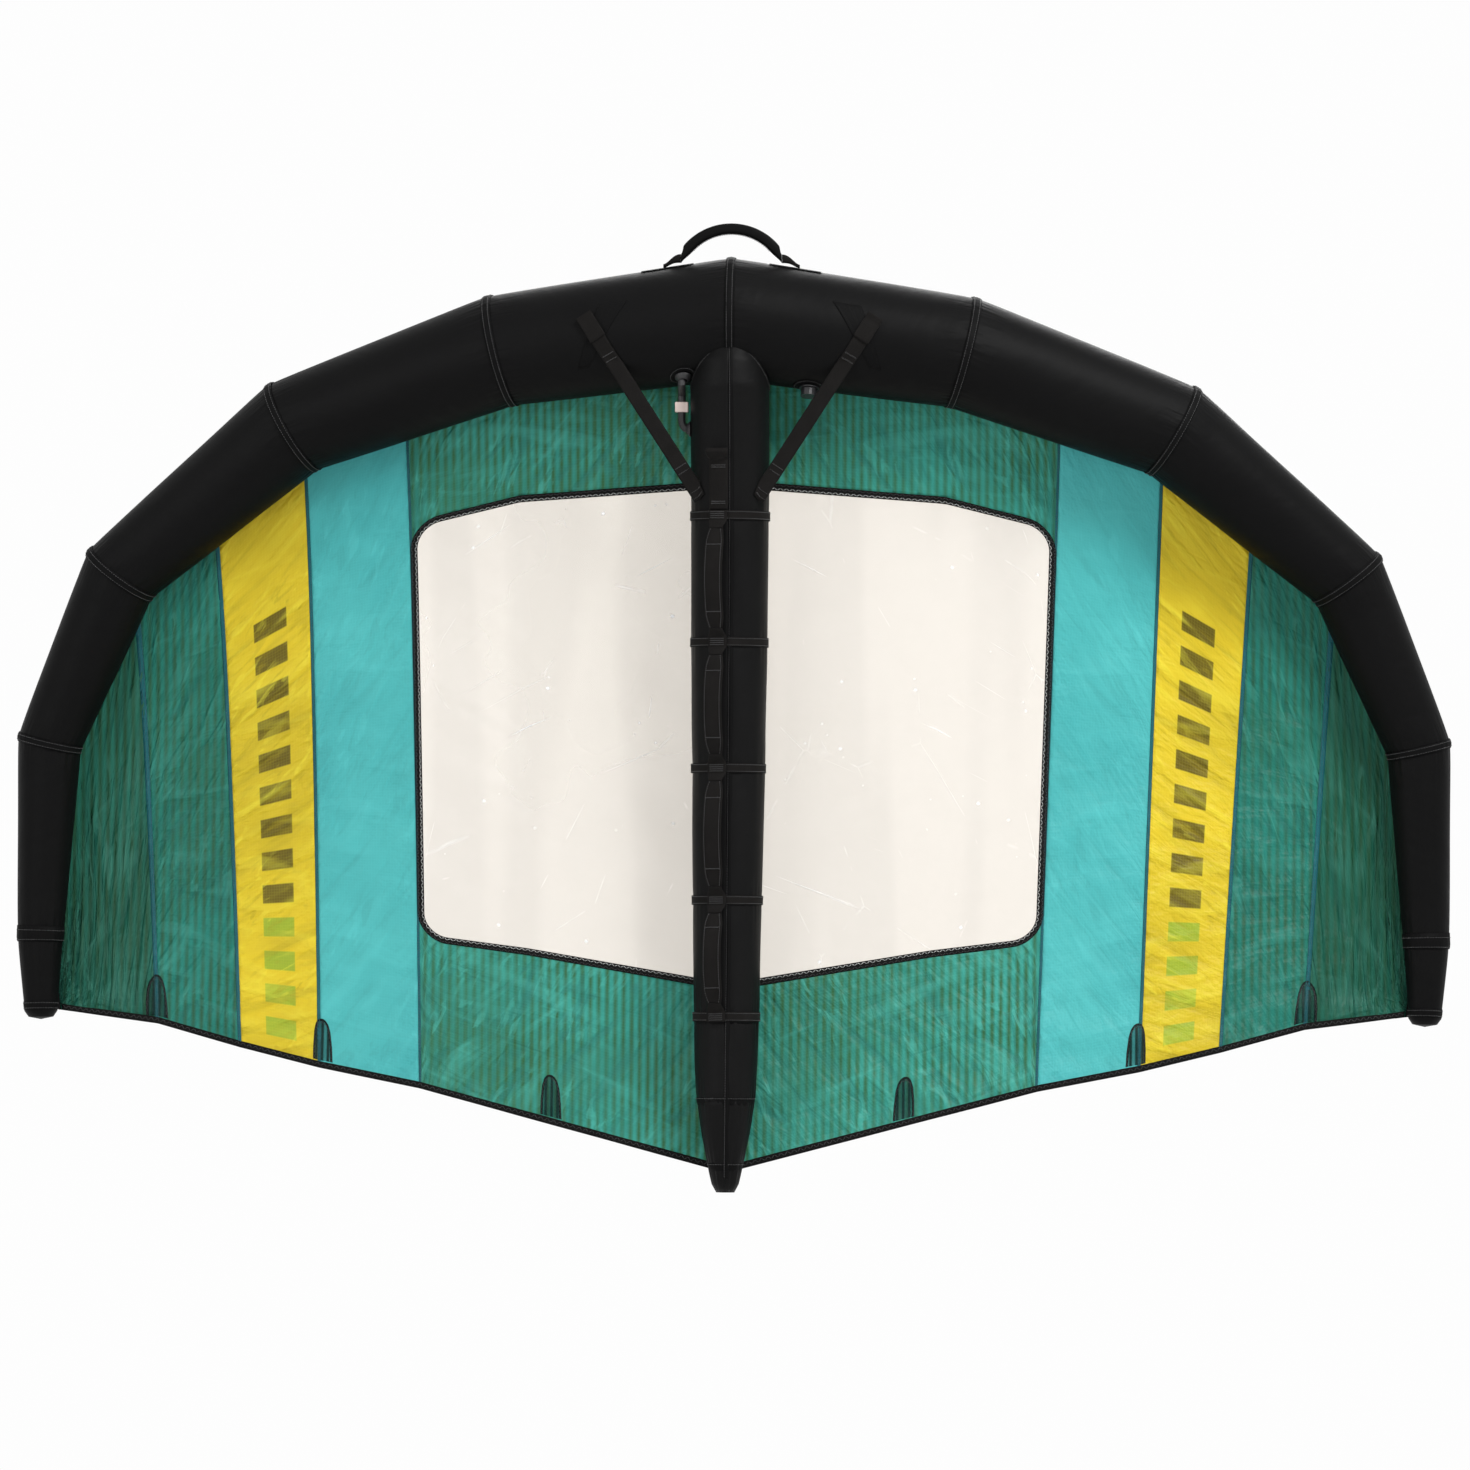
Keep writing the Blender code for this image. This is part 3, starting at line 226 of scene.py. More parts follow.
class CanopyForm:
    """The canopy as a surface over (v, s)."""

    def __init__(self, tube: LeadingTube) -> None:
        """Sets it up. Args: tube: the tube that it is sewn to."""
        self.tube = tube
        self.x = HALF_SPAN * np.array(TE_X_SHARES)
        self.y = TIP_RISE * np.array(TE_RISE_SHARES)
        self.z = LE_AXIS_Z - CHORD * np.array(TE_DROP_SHARES)

    def camber(self, s: Array) -> Array:
        """A mean line's rise over its chord, 1 at its peak.

        Args: s: shares of the chord.
        Returns: the rise at each.
        """
        p = CAMBER_PEAK_SHARE
        front = (2 * p * s - s * s) / (p * p)
        rear = (1 - 2 * p + 2 * p * s - s * s) / ((1 - p) * (1 - p))
        return np.where(s < p, front, rear)

    def point(self, v: Array, s: Array, lift: Array = 0.0, side: float = 1.0) -> Array:
        """Points on the canopy, lifted towards the wing's back.

        Args: v, s: places. lift: off the cloth. side: -1 for the left.
        Returns: (n, 3) array.
        """
        v, s, lift = np.broadcast_arrays(*map(np.atleast_1d, (v, s, lift)))
        front = self.tube.point(table(SEAM_STATION_SHARES, v), ATTACH_DEG, CLOTH_LIFT)
        rear = np.stack([table(t, v) for t in (self.x, self.y, self.z)], axis=1)
        made = lerp(front, rear, s[:, None])
        chord = np.linalg.norm(rear - front, axis=1)
        made[:, 1] += chord * table(CAMBER_SHARES, v) * self.camber(s) + lift
        made[:, 1] += self.relief(made[:, 0], made[:, 2], s, side)
        return made * (side, 1.0, 1.0)

    def relief(self, x: Array, z: Array, s: Array, side: float) -> Array:
        """The cloth's soft folds: level ones by the trailing edge, slanted ones elsewhere.

        Args: x, z, s: places. side: -1 for the left.
        Returns: how far each stands back.
        """
        shift = 40.0 if side > 0 else 11.0
        level = FOLDS(x / 0.30 + shift, z / 0.045 + x / 0.5)
        slant = FOLDS((x + z) / 0.22 + shift, (z - 0.7 * x) / 0.060)
        steep = FOLDS((x - z) / 0.030 + shift, (x + z) / 0.16)
        long_wave = FOLDS(x / 0.35 + shift, z / 0.40 + 9.0)
        held = smooth(s / 0.10) * smooth(np.abs(x) / 0.10)
        return held * (0.0040 * smooth((s - 0.70) / 0.25) * level + 0.0018 * slant
                       + 0.0018 * smooth((0.30 - s) / 0.2) * steep + 0.0040 * long_wave)

    def chord(self, v: float) -> float:
        """Straight length from the tube to the trailing edge."""
        return float(np.linalg.norm(self.point(v, 1.0) - self.point(v, 0.0)))

    def width(self, i: int, s: float) -> float:
        """A panel's width between its two seams."""
        return float(np.linalg.norm(self.point(i + 1.0, s) - self.point(float(i), s)))

    def hem(self, v: float, length: float) -> float:
        """Where s is a length short of the trailing edge."""
        return 1.0 - length / self.chord(v)


class StrutForm:
    """The strut as a surface: 0 degrees faces the rider and 90 is +X."""

    def __init__(self, canopy: CanopyForm) -> None:
        """Sets it up. Args: canopy: the canopy that it carries."""
        self.drops = CHORD * np.array(STRUT_DROP_SHARES)
        self.radii = STRUT_RADIUS * np.array(STRUT_RADIUS_SHARES)
        front, rear = canopy.point(0.0, 0.0)[0], canopy.point(0.0, 1.0)[0]
        s = np.clip((LE_AXIS_Z - self.drops - front[2]) / (rear[2] - front[2]), 0.0, 1.0)
        top = canopy.point(np.zeros_like(s), s)[:, 1]
        kept = np.maximum(np.arange(len(s)), STRUT_SHOULDER)
        fade = np.maximum(0.0, 1.0 - self.drops[kept] / 0.520)
        self.middle = top - 0.0015 - self.radii[kept] - 0.050 * fade * fade

    def radius(self, drop: Array) -> Array:
        """The tube's radius at a drop below the leading edge's axis."""
        return np.interp(drop, self.drops, self.radii)

    def point(self, drop: Array, degrees: Array, lift: Array = 0.0) -> Array:
        """Points on the strut, lifted off its surface.

        Args: drop: below the leading edge's axis. degrees: round the strut. lift: off it.
        Returns: (n, 3) array.
        """
        drop, degrees, lift = np.broadcast_arrays(*map(np.atleast_1d, (drop, degrees, lift)))
        a, radius = np.radians(degrees), self.radius(drop) + lift
        middle = np.interp(drop, self.drops, self.middle)
        return np.stack([radius * np.sin(a), middle - radius * np.cos(a), LE_AXIS_Z - drop], axis=1)


TUBE = LeadingTube()
CANOPY = CanopyForm(TUBE)
STRUT = StrutForm(CANOPY)


# Finishes


class Tree:
    """Shader node building: makes nodes, sets their sockets and links them."""

    def __init__(self, name: str) -> None:
        """Sets it up. Args: name: the new material's name."""
        self.material = bpy.data.materials.new(name)
        self.material.use_nodes = True
        self.hold(self.material.node_tree)
        self.shader = self.nodes["Principled BSDF"]
        self.output = self.nodes["Material Output"]

    def hold(self, tree: bpy.types.NodeTree) -> None:
        """Takes a node tree to work on."""
        self.nodes, self.links = tree.nodes, tree.links

    @classmethod
    def of_world(cls, world: bpy.types.World) -> "Tree":
        """The helper for a world's nodes. Args: world: a new world. Returns: the helper."""
        world.use_nodes = True
        made = cls.__new__(cls)
        made.hold(world.node_tree)
        made.output = made.nodes["World Output"]
        return made

    def seen(self) -> Socket:
        """1 for rays from the camera, a glossy face or clear film, 0 for the others. Returns: the share."""
        path = self.node("ShaderNodeLightPath")
        seen = self.math("MAXIMUM", path.outputs["Is Camera Ray"], path.outputs["Is Transmission Ray"])
        return self.math("MAXIMUM", seen, path.outputs["Is Glossy Ray"])

    def node(self, kind: str, **settings: object) -> bpy.types.Node:
        """Args: kind: node type. settings: the node's attributes. Returns: the node."""
        made = self.nodes.new(kind)
        for key, value in settings.items():
            setattr(made, key, value)
        return made

    def put(self, node: bpy.types.Node, socket: Union[int, str], value: Value) -> None:
        """Links value when it is a socket, and sets it otherwise.

        Args: node, socket: what to set. value: a socket, number or colour.
        """
        target = node.inputs[socket]
        if isinstance(value, Socket):
            self.links.new(value, target)
        elif isinstance(value, tuple) and len(value) == 3 and target.type == "RGBA":
            target.default_value = (*value, 1.0)
        else:
            target.default_value = value

    def math(self, operation: str, *values: Value) -> Socket:
        """A math node over sockets and numbers.

        Args: operation: its name. values: its inputs.
        Returns: the result.
        """
        made = self.node("ShaderNodeMath", operation=operation)
        for i, value in enumerate(values):
            self.put(made, i, value)
        return made.outputs[0]

    def times(self, a: Value, b: Value) -> Socket:
        """A product."""
        return self.math("MULTIPLY", a, b)

    def mix(self, share: Value, a: Value, b: Value) -> Socket:
        """A colour between a and b. Args: share: from a to b. a, b: colours. Returns: the colour."""
        made = self.node("ShaderNodeMix", data_type="RGBA")
        self.put(made, 0, share)
        self.put(made, 6, a)
        self.put(made, 7, b)
        return made.outputs[2]

    def ramp(self, value: Socket, low: float, high: float) -> Socket:
        """0 below low to 1 above high. Args: value: the input. low, high: its range. Returns: the share."""
        made = self.node("ShaderNodeMapRange", clamp=True)
        self.put(made, 0, value)
        self.put(made, 1, low)
        self.put(made, 2, high)
        return made.outputs[0]

    def uv(self) -> Socket:
        """The piece's own cloth coordinates, in metres."""
        return self.node("ShaderNodeUVMap", uv_map="cloth").outputs[0]

    def place(self) -> Socket:
        """Object coordinates, in metres."""
        return self.node("ShaderNodeTexCoord").outputs["Object"]

    def edge(self) -> Socket:
        """Distance to the nearest seam, as the mesh keeps it."""
        return self.node("ShaderNodeAttribute", attribute_name="edge").outputs["Fac"]

    def mapped(self, vector: Socket, scale: Triple, turn_deg: float = 0.0) -> Socket:
        """Coordinates turned about Z and then scaled.

        Args: vector: coordinates. scale: along each axis. turn_deg: the turn.
        Returns: the coordinates.
        """
        turned = self.node("ShaderNodeMapping")
        self.put(turned, "Vector", vector)
        turned.inputs["Rotation"].default_value = (0.0, 0.0, math.radians(turn_deg))
        scaled = self.node("ShaderNodeVectorMath", operation="MULTIPLY")
        self.links.new(turned.outputs[0], scaled.inputs[0])
        scaled.inputs[1].default_value = scale
        return scaled.outputs[0]

    def noise(self, vector: Socket, scale: float, detail: float = 3.0, rough: float = 0.5,
              twist: float = 0.0) -> Socket:
        """Noise from 0 to 1.

        Args: vector: coordinates. scale, detail, rough, twist: the noise's own settings.
        Returns: the noise.
        """
        made = self.node("ShaderNodeTexNoise")
        self.put(made, "Vector", vector)
        self.put(made, "Distortion", twist)
        self.put(made, "Scale", scale)
        self.put(made, "Detail", detail)
        self.put(made, "Roughness", rough)
        return made.outputs[0]

    def stripes(self, vector: Socket, axis: int, pitch: float, share: float,
                soft: float = 0.08) -> Socket:
        """1 on stripes of the given share of the pitch across an axis, 0 between them.

        Args: vector: coordinates. axis: its number. pitch, share: of the stripes. soft: their edges.
        Returns: the mask.
        """
        saw = self.math("FRACT", self.math("DIVIDE", self.axis(vector, axis), pitch))
        off = self.math("ABSOLUTE", self.math("SUBTRACT", saw, 0.5))
        return self.ramp(off, share / 2 + soft, share / 2 - soft)

    def axis(self, vector: Socket, axis: int) -> Socket:
        """One of a vector's three parts. Args: vector: coordinates. axis: its number. Returns: the part."""
        parts = self.node("ShaderNodeSeparateXYZ")
        self.put(parts, 0, vector)
        return parts.outputs[axis]

    def bump(self, height: Socket, distance: float, normal: Optional[Socket] = None) -> Socket:
        """A bump of height times distance, on top of another one.

        Args: height: from 0 to 1. distance: its metres. normal: the one below.
        Returns: the normal.
        """
        made = self.node("ShaderNodeBump")
        self.put(made, "Height", height)
        self.put(made, "Distance", distance)
        self.put(made, "Strength", 1.0)
        if normal is not None:
            self.put(made, "Normal", normal)
        return made.outputs[0]

    def finish(self, color: Value, roughness: Value, normal: Optional[Socket] = None,
               **sockets: Value) -> Material:
        """Sets the Principled shader.

        Args: color, roughness, normal: the main sockets. sockets: others by name.
        Returns: the material.
        """
        self.put(self.shader, "Base Color", color)
        self.put(self.shader, "Roughness", roughness)
        if normal is not None:
            self.put(self.shader, "Normal", normal)
        for name, value in sockets.items():
            self.put(self.shader, name.replace("_", " "), value)
        return self.material

    def blend(self, share: Value, first: bpy.types.Node, second: bpy.types.Node) -> None:
        """Sends two shaders to the output, mixed by the second one's share.

        Args: share: of the second. first, second: shaders.
        """
        both = self.node("ShaderNodeMixShader")
        self.put(both, 0, share)
        self.links.new(first.outputs[0], both.inputs[1])
        self.links.new(second.outputs[0], both.inputs[2])
        self.links.new(both.outputs[0], self.output.inputs[0])

    def see_through(self, share: Value, tint: Value = WHITE) -> None:
        """Lets a share of the light straight through, tinted. Args: share: of the light. tint: its colour."""
        clear = self.node("ShaderNodeBsdfTransparent")
        self.put(clear, 0, tint)
        self.blend(share, self.shader, clear)

    def glow_through(self, color: Value, share: float) -> None:
        """Lets cloth pass a share of the light that falls on its other face.

        Args: color: of the cloth. share: of the light.
        """
        thin = self.node("ShaderNodeBsdfTranslucent")
        self.put(thin, 0, color)
        self.blend(share, self.shader, thin)


class Weave(Enum):
    """How a cloth is striped."""

    PLAIN = "plain"
    STRIPED = "striped"
    BARRED = "barred"


@dataclass(frozen=True)
class RipstopFinish:
    """Thin canopy cloth with a ripstop grid, fine wrinkles with painted shade in their hollows and painted
    highlights on their crests, and stripes where it has them.
    """

    name: str
    color: Triple
    deep: Triple
    stripe: Triple
    weave: Weave = Weave.PLAIN
    # How strong the wrinkles are: their bumps, and their painted shade and highlights
    wrinkle: float = 1.0
    lean_deg: float = 38.0
    stripe_pitch: float = 0.0163
    stripe_share: float = 0.46
    ripstop_pitch: float = 0.0055
    ripstop_share: float = 0.12
    puckered: float = 0.085
    roughness: float = 0.40
    specular: float = 0.16
    light_through: float = 0.16

    def print_blocks(self, t: Tree, cloth: Socket, color: Socket) -> Socket:
        """Two plain runs of printed blocks down the middle of a band, dark and then light.

        Args:
            t: the material's nodes.
            cloth: cloth coordinates.
            color: the cloth's colour so far.
        Returns: the colour with the print on it.
        """
        column = t.stripes(cloth, 0, BLOCK_COLUMN, 0.40, 0.006)
        blocks = t.times(column, t.stripes(cloth, 1, BLOCK_PITCH, 0.56, 0.02))
        down = t.axis(cloth, 1)
        for (low, high), shade in zip(BLOCK_RUNS, (self.stripe, self.deep)):
            inside = t.times(t.ramp(down, low, low + BLOCK_EDGE), t.ramp(down, high, high - BLOCK_EDGE))
            color = t.mix(t.times(blocks, t.times(inside, BLOCK_INK)), color, shade)
        return color

    def build(self) -> Material:
        """Returns: the node material."""
        t = Tree(self.name)
        cloth, place = t.uv(), t.place()
        barred = self.weave is Weave.BARRED
        worn_to = tuple(c * 0.82 for c in self.color) if barred else self.deep
        color = t.mix(t.ramp(t.noise(place, 3.4, 3.0), 0.38, 0.68), self.color, worn_to)
        if self.weave is Weave.STRIPED:
            lines = t.stripes(place, 0, self.stripe_pitch, self.stripe_share, 0.16)
            fade = t.math("ADD", 0.5, t.times(t.ramp(t.noise(place, 5.0, 2.0), 0.3, 0.6), 0.5))
            color = t.mix(t.times(lines, fade), color, self.stripe)
        if barred:
            color = self.print_blocks(t, cloth, color)
        warp, weft = (t.stripes(cloth, axis, self.ripstop_pitch, self.ripstop_share, 0.05) for axis in (0, 1))
        grid = t.math("MAXIMUM", warp, weft)
        near = t.ramp(t.edge(), self.puckered, 0.0)
        folds = t.noise(t.mapped(cloth, (30.0, 5.0, 1.0), self.lean_deg), 1.0, 3.0, twist=0.6)
        cross = t.noise(t.mapped(cloth, (5.0, 22.0, 1.0), 12.0), 1.0, 3.0, twist=0.5)
        pucker = t.noise(t.mapped(cloth, (95.0, 95.0, 1.0)), 1.0, 1.0)
        crumple = t.mapped(cloth, (50.0, 15.0, 1.0), self.lean_deg - 14.0)
        crumple = t.noise(crumple, 1.0, 3.0, twist=0.8)
        patchy = t.ramp(t.noise(place, 5.5, 2.0), 0.36, 0.60)
        # Painted light and shade of the wrinkles: shade painted in fold hollows and on crumples, highlights
        # painted on crests, cross waves and crumples, here and there
        painted_crumple_share = t.times(t.ramp(t.noise(place, 8.0, 2.0), 0.42, 0.60), self.wrinkle)
        lit_share, dark_share = t.times(painted_crumple_share, 0.34), t.times(painted_crumple_share, 0.40)
        # lit and dark are a lighter and a darker copy of the cloth's colour, for the painted highlights and
        # painted shade; lit also pales the ripstop grid
        lit = tuple(min(1.0, c * 1.45 + 0.04) for c in self.color)
        dark = tuple(c * 0.5 for c in self.color)
        painted_fold_shade, painted_crest_glint = t.ramp(folds, 0.47, 0.32), t.times(t.ramp(folds, 0.55, 0.72), patchy)
        wave = t.ramp(cross, 0.53, 0.68)
        color = t.mix(t.times(painted_fold_shade, 0.48 * self.wrinkle), color, dark)
        color = t.mix(t.times(wave, 0.26 * self.wrinkle), color, lit)
        color = t.mix(t.times(painted_crest_glint, 0.44 * self.wrinkle), color, lit)
        color = t.mix(t.times(t.ramp(crumple, 0.57, 0.64), lit_share), color, lit)
        color = t.mix(t.times(t.ramp(crumple, 0.43, 0.36), dark_share), color, dark)
        color = t.mix(t.times(grid, 0.10), color, lit)
        normal = t.bump(folds, 0.0110 * self.wrinkle)
        normal = t.bump(cross, 0.0090 * self.wrinkle, normal=normal)
        normal = t.bump(crumple, 0.0040 * self.wrinkle, normal=normal)
        normal = t.bump(t.times(pucker, near), 0.0022, normal=normal)
        normal = t.bump(grid, 0.00012, normal=normal)
        t.finish(color, self.roughness, normal, Specular_IOR_Level=self.specular)
        t.glow_through(color, self.light_through)
        return t.material


@dataclass(frozen=True)
class SleeveFinish:
    """Coated woven polyester drawn tight over an air tube."""

    name: str
    color: Triple
    roughness: float = 0.5
    wrinkle: float = 1.0
    thread: float = 0.0016
    puckered: float = 0.07
    specular: float = 0.06

    def build(self) -> Material:
        """Returns: the node material."""
        t = Tree(self.name)
        cloth, place = t.uv(), t.place()
        dusty = t.noise(place, 5.0, 4.0)
        color = t.mix(t.times(dusty, 0.5), self.color, tuple(c * 1.9 + 0.002 for c in self.color))
        warp, weft = (t.stripes(cloth, axis, self.thread, 0.5, 0.25) for axis in (0, 1))
        near = t.ramp(t.edge(), self.puckered, 0.0)
        pucker = t.noise(t.mapped(cloth, (70.0, 12.0, 1.0)), 1.0, 2.0)
        slack = t.noise(t.mapped(cloth, (7.0, 16.0, 1.0), 25.0), 1.0, 3.0)
        normal = t.bump(slack, 0.0030 * self.wrinkle)
        normal = t.bump(t.times(pucker, near), 0.0035 * self.wrinkle, normal=normal)
        normal = t.bump(t.times(warp, weft), 0.00008, normal=normal)
        rough = t.math("ADD", self.roughness - 0.06, t.times(dusty, 0.12))
        return t.finish(color, rough, normal, Specular_IOR_Level=self.specular)


@dataclass(frozen=True)
class WebbingFinish:
    """Flat woven webbing, its ribs running across it."""

    name: str
    color: Triple
    rib: float = 0.0021
    roughness: float = 0.82
    specular: float = 0.10

    def build(self) -> Material:
        """Returns: the node material."""
        t = Tree(self.name)
        cloth, place = t.uv(), t.place()
        ribs = t.stripes(cloth, 1, self.rib, 0.5, 0.3)
        cords = t.stripes(cloth, 0, self.rib * 1.6, 0.5, 0.3)
        worn = t.noise(place, 28.0, 4.0)
        color = t.mix(t.times(worn, 0.6), self.color, tuple(c * 2.4 + 0.003 for c in self.color))
        normal = t.bump(t.times(ribs, cords), 0.0004)
        normal = t.bump(worn, 0.0006, normal=normal)
        return t.finish(color, self.roughness, normal, Specular_IOR_Level=self.specular, Sheen_Weight=0.01)


@dataclass(frozen=True)
class FilmFinish:
    """Clear window film with creases, scratches and bright specks."""

    name: str
    color: Triple
    roughness: float = 0.14
    clear_share: float = 0.62
    clear_range: float = 0.20

    def build(self) -> Material:
        """Returns: the node material."""
        t = Tree(self.name)
        cloth, place = t.uv(), t.place()
        cloudy = t.noise(place, 2.2, 3.0)
        creases = t.node("ShaderNodeTexVoronoi", feature="DISTANCE_TO_EDGE")
        t.put(creases, "Vector", t.mapped(cloth, (7.0, 3.0, 1.0), 24.0))
        t.put(creases, "Scale", 1.0)
        crease = t.ramp(creases.outputs["Distance"], 0.009, 0.0)
        crease = t.times(crease, t.ramp(t.noise(place, 11.0, 2.0), 0.55, 0.70))
        scratches = t.noise(t.mapped(cloth, (90.0, 3.0, 1.0), 62.0), 1.0, 2.0, twist=0.4)
        scratches = t.times(t.ramp(scratches, 0.70, 0.78), t.ramp(t.noise(place, 4.0, 2.0), 0.48, 0.56))
        crease = t.math("MAXIMUM", t.times(crease, 0.35), t.times(scratches, 0.8))
        specks = t.node("ShaderNodeTexVoronoi")
        t.put(specks, "Vector", cloth)
        t.put(specks, "Scale", 26.0)
        speck = t.ramp(specks.outputs["Distance"], 0.11, 0.05)
        speck = t.times(speck, t.ramp(t.noise(place, 7.0, 2.0), 0.50, 0.56))
        marks = t.math("MAXIMUM", crease, speck)
        dull = tuple(c * 0.90 for c in self.color)
        bands = t.ramp(t.noise(t.mapped(place, (7.0, 1.0, 0.5)), 1.0, 1.0), 0.46, 0.54)
        tint = t.mix(t.times(bands, 0.3), self.color, dull)
        color = t.mix(marks, tint, WHITE)
        soft = t.noise(t.mapped(cloth, (2.0, 9.0, 1.0), 15.0), 1.0, 2.0)
        normal = t.bump(soft, 0.006)
        normal = t.bump(crease, 0.0012, normal=normal)
        t.finish(color, self.roughness, normal, Specular_IOR_Level=0.5)
        share = t.math("ADD", self.clear_share, t.times(cloudy, self.clear_range))
        t.see_through(t.times(share, t.math("SUBTRACT", 1.0, t.times(marks, 0.9))), color)
        return t.material


@dataclass(frozen=True)
class PocketFinish:
    """Thin striped pocket cloth that the canopy shows through, with a dark stitched border; on the rider's
    side the same finish makes the painted shade of a pocket.
    """

    name: str
    color: Triple
    border: float = 0.0050
    border_soft: float = 0.0008
    stripe_pitch: float = 0.0116
    cover: float = 0.22

    def build(self) -> Material:
        """Returns: the node material."""
        t = Tree(self.name)
        cloth, place = t.uv(), t.place()
        rim = t.ramp(t.edge(), self.border + self.border_soft, self.border - self.border_soft)
        lines = t.stripes(place, 0, self.stripe_pitch, 0.40, 0.10)
        color = t.mix(rim, self.color, tuple(c * 0.2 for c in self.color))
        crinkle = t.noise(t.mapped(cloth, (60.0, 16.0, 1.0)), 1.0, 2.0)
        t.finish(color, 0.5, t.bump(crinkle, 0.0022), Specular_IOR_Level=0.15)
        filled = t.math("MAXIMUM", t.times(rim, 0.93), t.math("ADD", self.cover, t.times(lines, 0.5)))
        t.see_through(t.math("SUBTRACT", 1.0, filled))
        return t.material


@dataclass(frozen=True)
class MouldedFinish:
    """Moulded plastic or rubber with a fine grain."""

    name: str
    color: Triple
    roughness: float = 0.4

    def build(self) -> Material:
        """Returns: the node material."""
        t = Tree(self.name)
        place = t.place()
        grain = t.noise(place, 900.0, 2.0)
        worn = t.noise(place, 60.0, 4.0)
        color = t.mix(t.times(worn, 0.35), self.color, tuple(min(1.0, c * 1.35 + 0.01) for c in self.color))
        rough = t.math("ADD", self.roughness - 0.08, t.times(worn, 0.16))
        return t.finish(color, rough, t.bump(grain, 0.0001), Specular_IOR_Level=0.5)


@dataclass(frozen=True)
class ThreadFinish:
    """Sewing thread."""

    name: str
    color: Triple

    def build(self) -> Material:
        """Returns: the node material."""
        t = Tree(self.name)
        twist = t.noise(t.place(), 1500.0, 1.0)
        color = t.mix(t.times(twist, 0.4), self.color, tuple(c * 0.5 for c in self.color))
        return t.finish(color, 0.7, t.bump(twist, 0.0002), Sheen_Weight=0.3)


FINISHES = {
    "sleeve": SleeveFinish("sleeve_cloth", (0.0030, 0.0030, 0.0031)),
    "strut": SleeveFinish("strut_cloth", (0.0046, 0.0046, 0.0047), 0.46, 0.8),
    "webbing": WebbingFinish("black_webbing", (0.0050, 0.0045, 0.0042)),
    "binding": WebbingFinish("black_binding", (0.0036, 0.0036, 0.0036), 0.0016),
    "patch": SleeveFinish("patch_cloth", (0.0026, 0.0026, 0.0027), 0.62, 0.4),
    "green": RipstopFinish("green_ripstop", (0.046, 0.365, 0.300), (0.034, 0.235, 0.170),
                           (0.040, 0.150, 0.060), Weave.STRIPED),
    "side_green": RipstopFinish("side_green_ripstop", (0.020, 0.228, 0.180), (0.017, 0.165, 0.115),
                                (0.026, 0.118, 0.062), Weave.STRIPED),
    "tip": RipstopFinish("tip_ripstop", (0.016, 0.150, 0.104), (0.012, 0.098, 0.060), (0.014, 0.072, 0.032),
                         Weave.STRIPED, 1.2),
    "teal": RipstopFinish("teal_ripstop", (0.092, 0.520, 0.515), (0.070, 0.450, 0.455), (0.060, 0.400, 0.400),
                          Weave.PLAIN, 0.4),
    "yellow": RipstopFinish("yellow_ripstop", (0.800, 0.610, 0.030), (0.330, 0.470, 0.040),
                            (0.085, 0.062, 0.010), Weave.BARRED, 0.8, 70.0),
    "seam": RipstopFinish("seam_ripstop", (0.014, 0.140, 0.165), (0.012, 0.110, 0.125), (0.012, 0.110, 0.125),
                          Weave.PLAIN, 0.4),
    "pocket": PocketFinish("pocket_cloth", (0.004, 0.030, 0.026)),
    "film": FilmFinish("window_film", (0.940, 0.912, 0.872)),
    "bladder": MouldedFinish("bladder_film", (0.62, 0.66, 0.70), 0.35),
    "dark": MouldedFinish("dark_plastic", (0.016, 0.016, 0.018), 0.36),
    "hose": MouldedFinish("hose_rubber", (0.014, 0.014, 0.015), 0.5),
    "pale": MouldedFinish("pale_plastic", (0.740, 0.610, 0.560), 0.34),
    "black_thread": ThreadFinish("black_thread", (0.012, 0.012, 0.013)),
    "grey_thread": ThreadFinish("grey_thread", (0.017, 0.017, 0.018)),
    "white_thread": ThreadFinish("white_thread", (0.70, 0.72, 0.70)),
    "blue_thread": ThreadFinish("blue_thread", (0.010, 0.090, 0.110)),
}
MADE: Dict[str, bpy.types.Material] = {}


def finish_of(key: str) -> Material:
    """The material for a finish, built at its first use.

    Args: key: key of FINISHES.
    Returns: the material.
    """
    if key not in MADE:
        MADE[key] = FINISHES[key].build()
    return MADE[key]


# Meshes


# Corners closer than this are welded
WELD = 0.00001
# A cut's least share of its rectangle, and a sheet's least side
LEAST_FILL = 0.32
LEAST_SIDE = 0.0105


@dataclass
class Cut:
    """A piece's flat cut, as it measures before it is sewn or blown up."""

    width: float
    length: float
    area: float


@contextmanager
def editing(mesh: bpy.types.Mesh) -> Iterator[bmesh.types.BMesh]:
    """Opens a mesh for changes to its faces and writes them back.

    Args: mesh: what to change.
    Returns: its faces, while they are open.
    """
    bm = bmesh.new()
    bm.from_mesh(mesh)
    yield bm
    bm.to_mesh(mesh)
    bm.free()


def own_points(mesh: bpy.types.Mesh) -> Array:
    """The mesh's points as an (n, 3) array. Args: mesh: any mesh. Returns: its points."""
    co = np.zeros(len(mesh.vertices) * 3, np.float64)
    mesh.vertices.foreach_get("co", co)
    return co.reshape(-1, 3)


def show(name: str, mesh: bpy.types.Mesh, finish: str, body: str, slot: Optional[str],
         replaces: Sequence[str] = ()) -> bpy.types.Object:
    """Puts a mesh in the scene with its finish, riding on a body.

    Args:
        name: the piece's name.
        finish: key of FINISHES.
        body: the frame's body that it moves with.
        slot: not used.
        replaces: frame nodes that the piece stands for.
    Returns: the object.
    """
    mesh.name = name
    mesh.materials.clear()
    mesh.materials.append(finish_of(finish))
    mesh.shade_smooth()
    obj = bpy.data.objects.new(name, mesh)
    bpy.context.scene.collection.objects.link(obj)
    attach(obj, body)
    if replaces:
        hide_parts(*replaces)
    log.info("%s: %d faces on %s", name, len(mesh.polygons), body)
    return obj


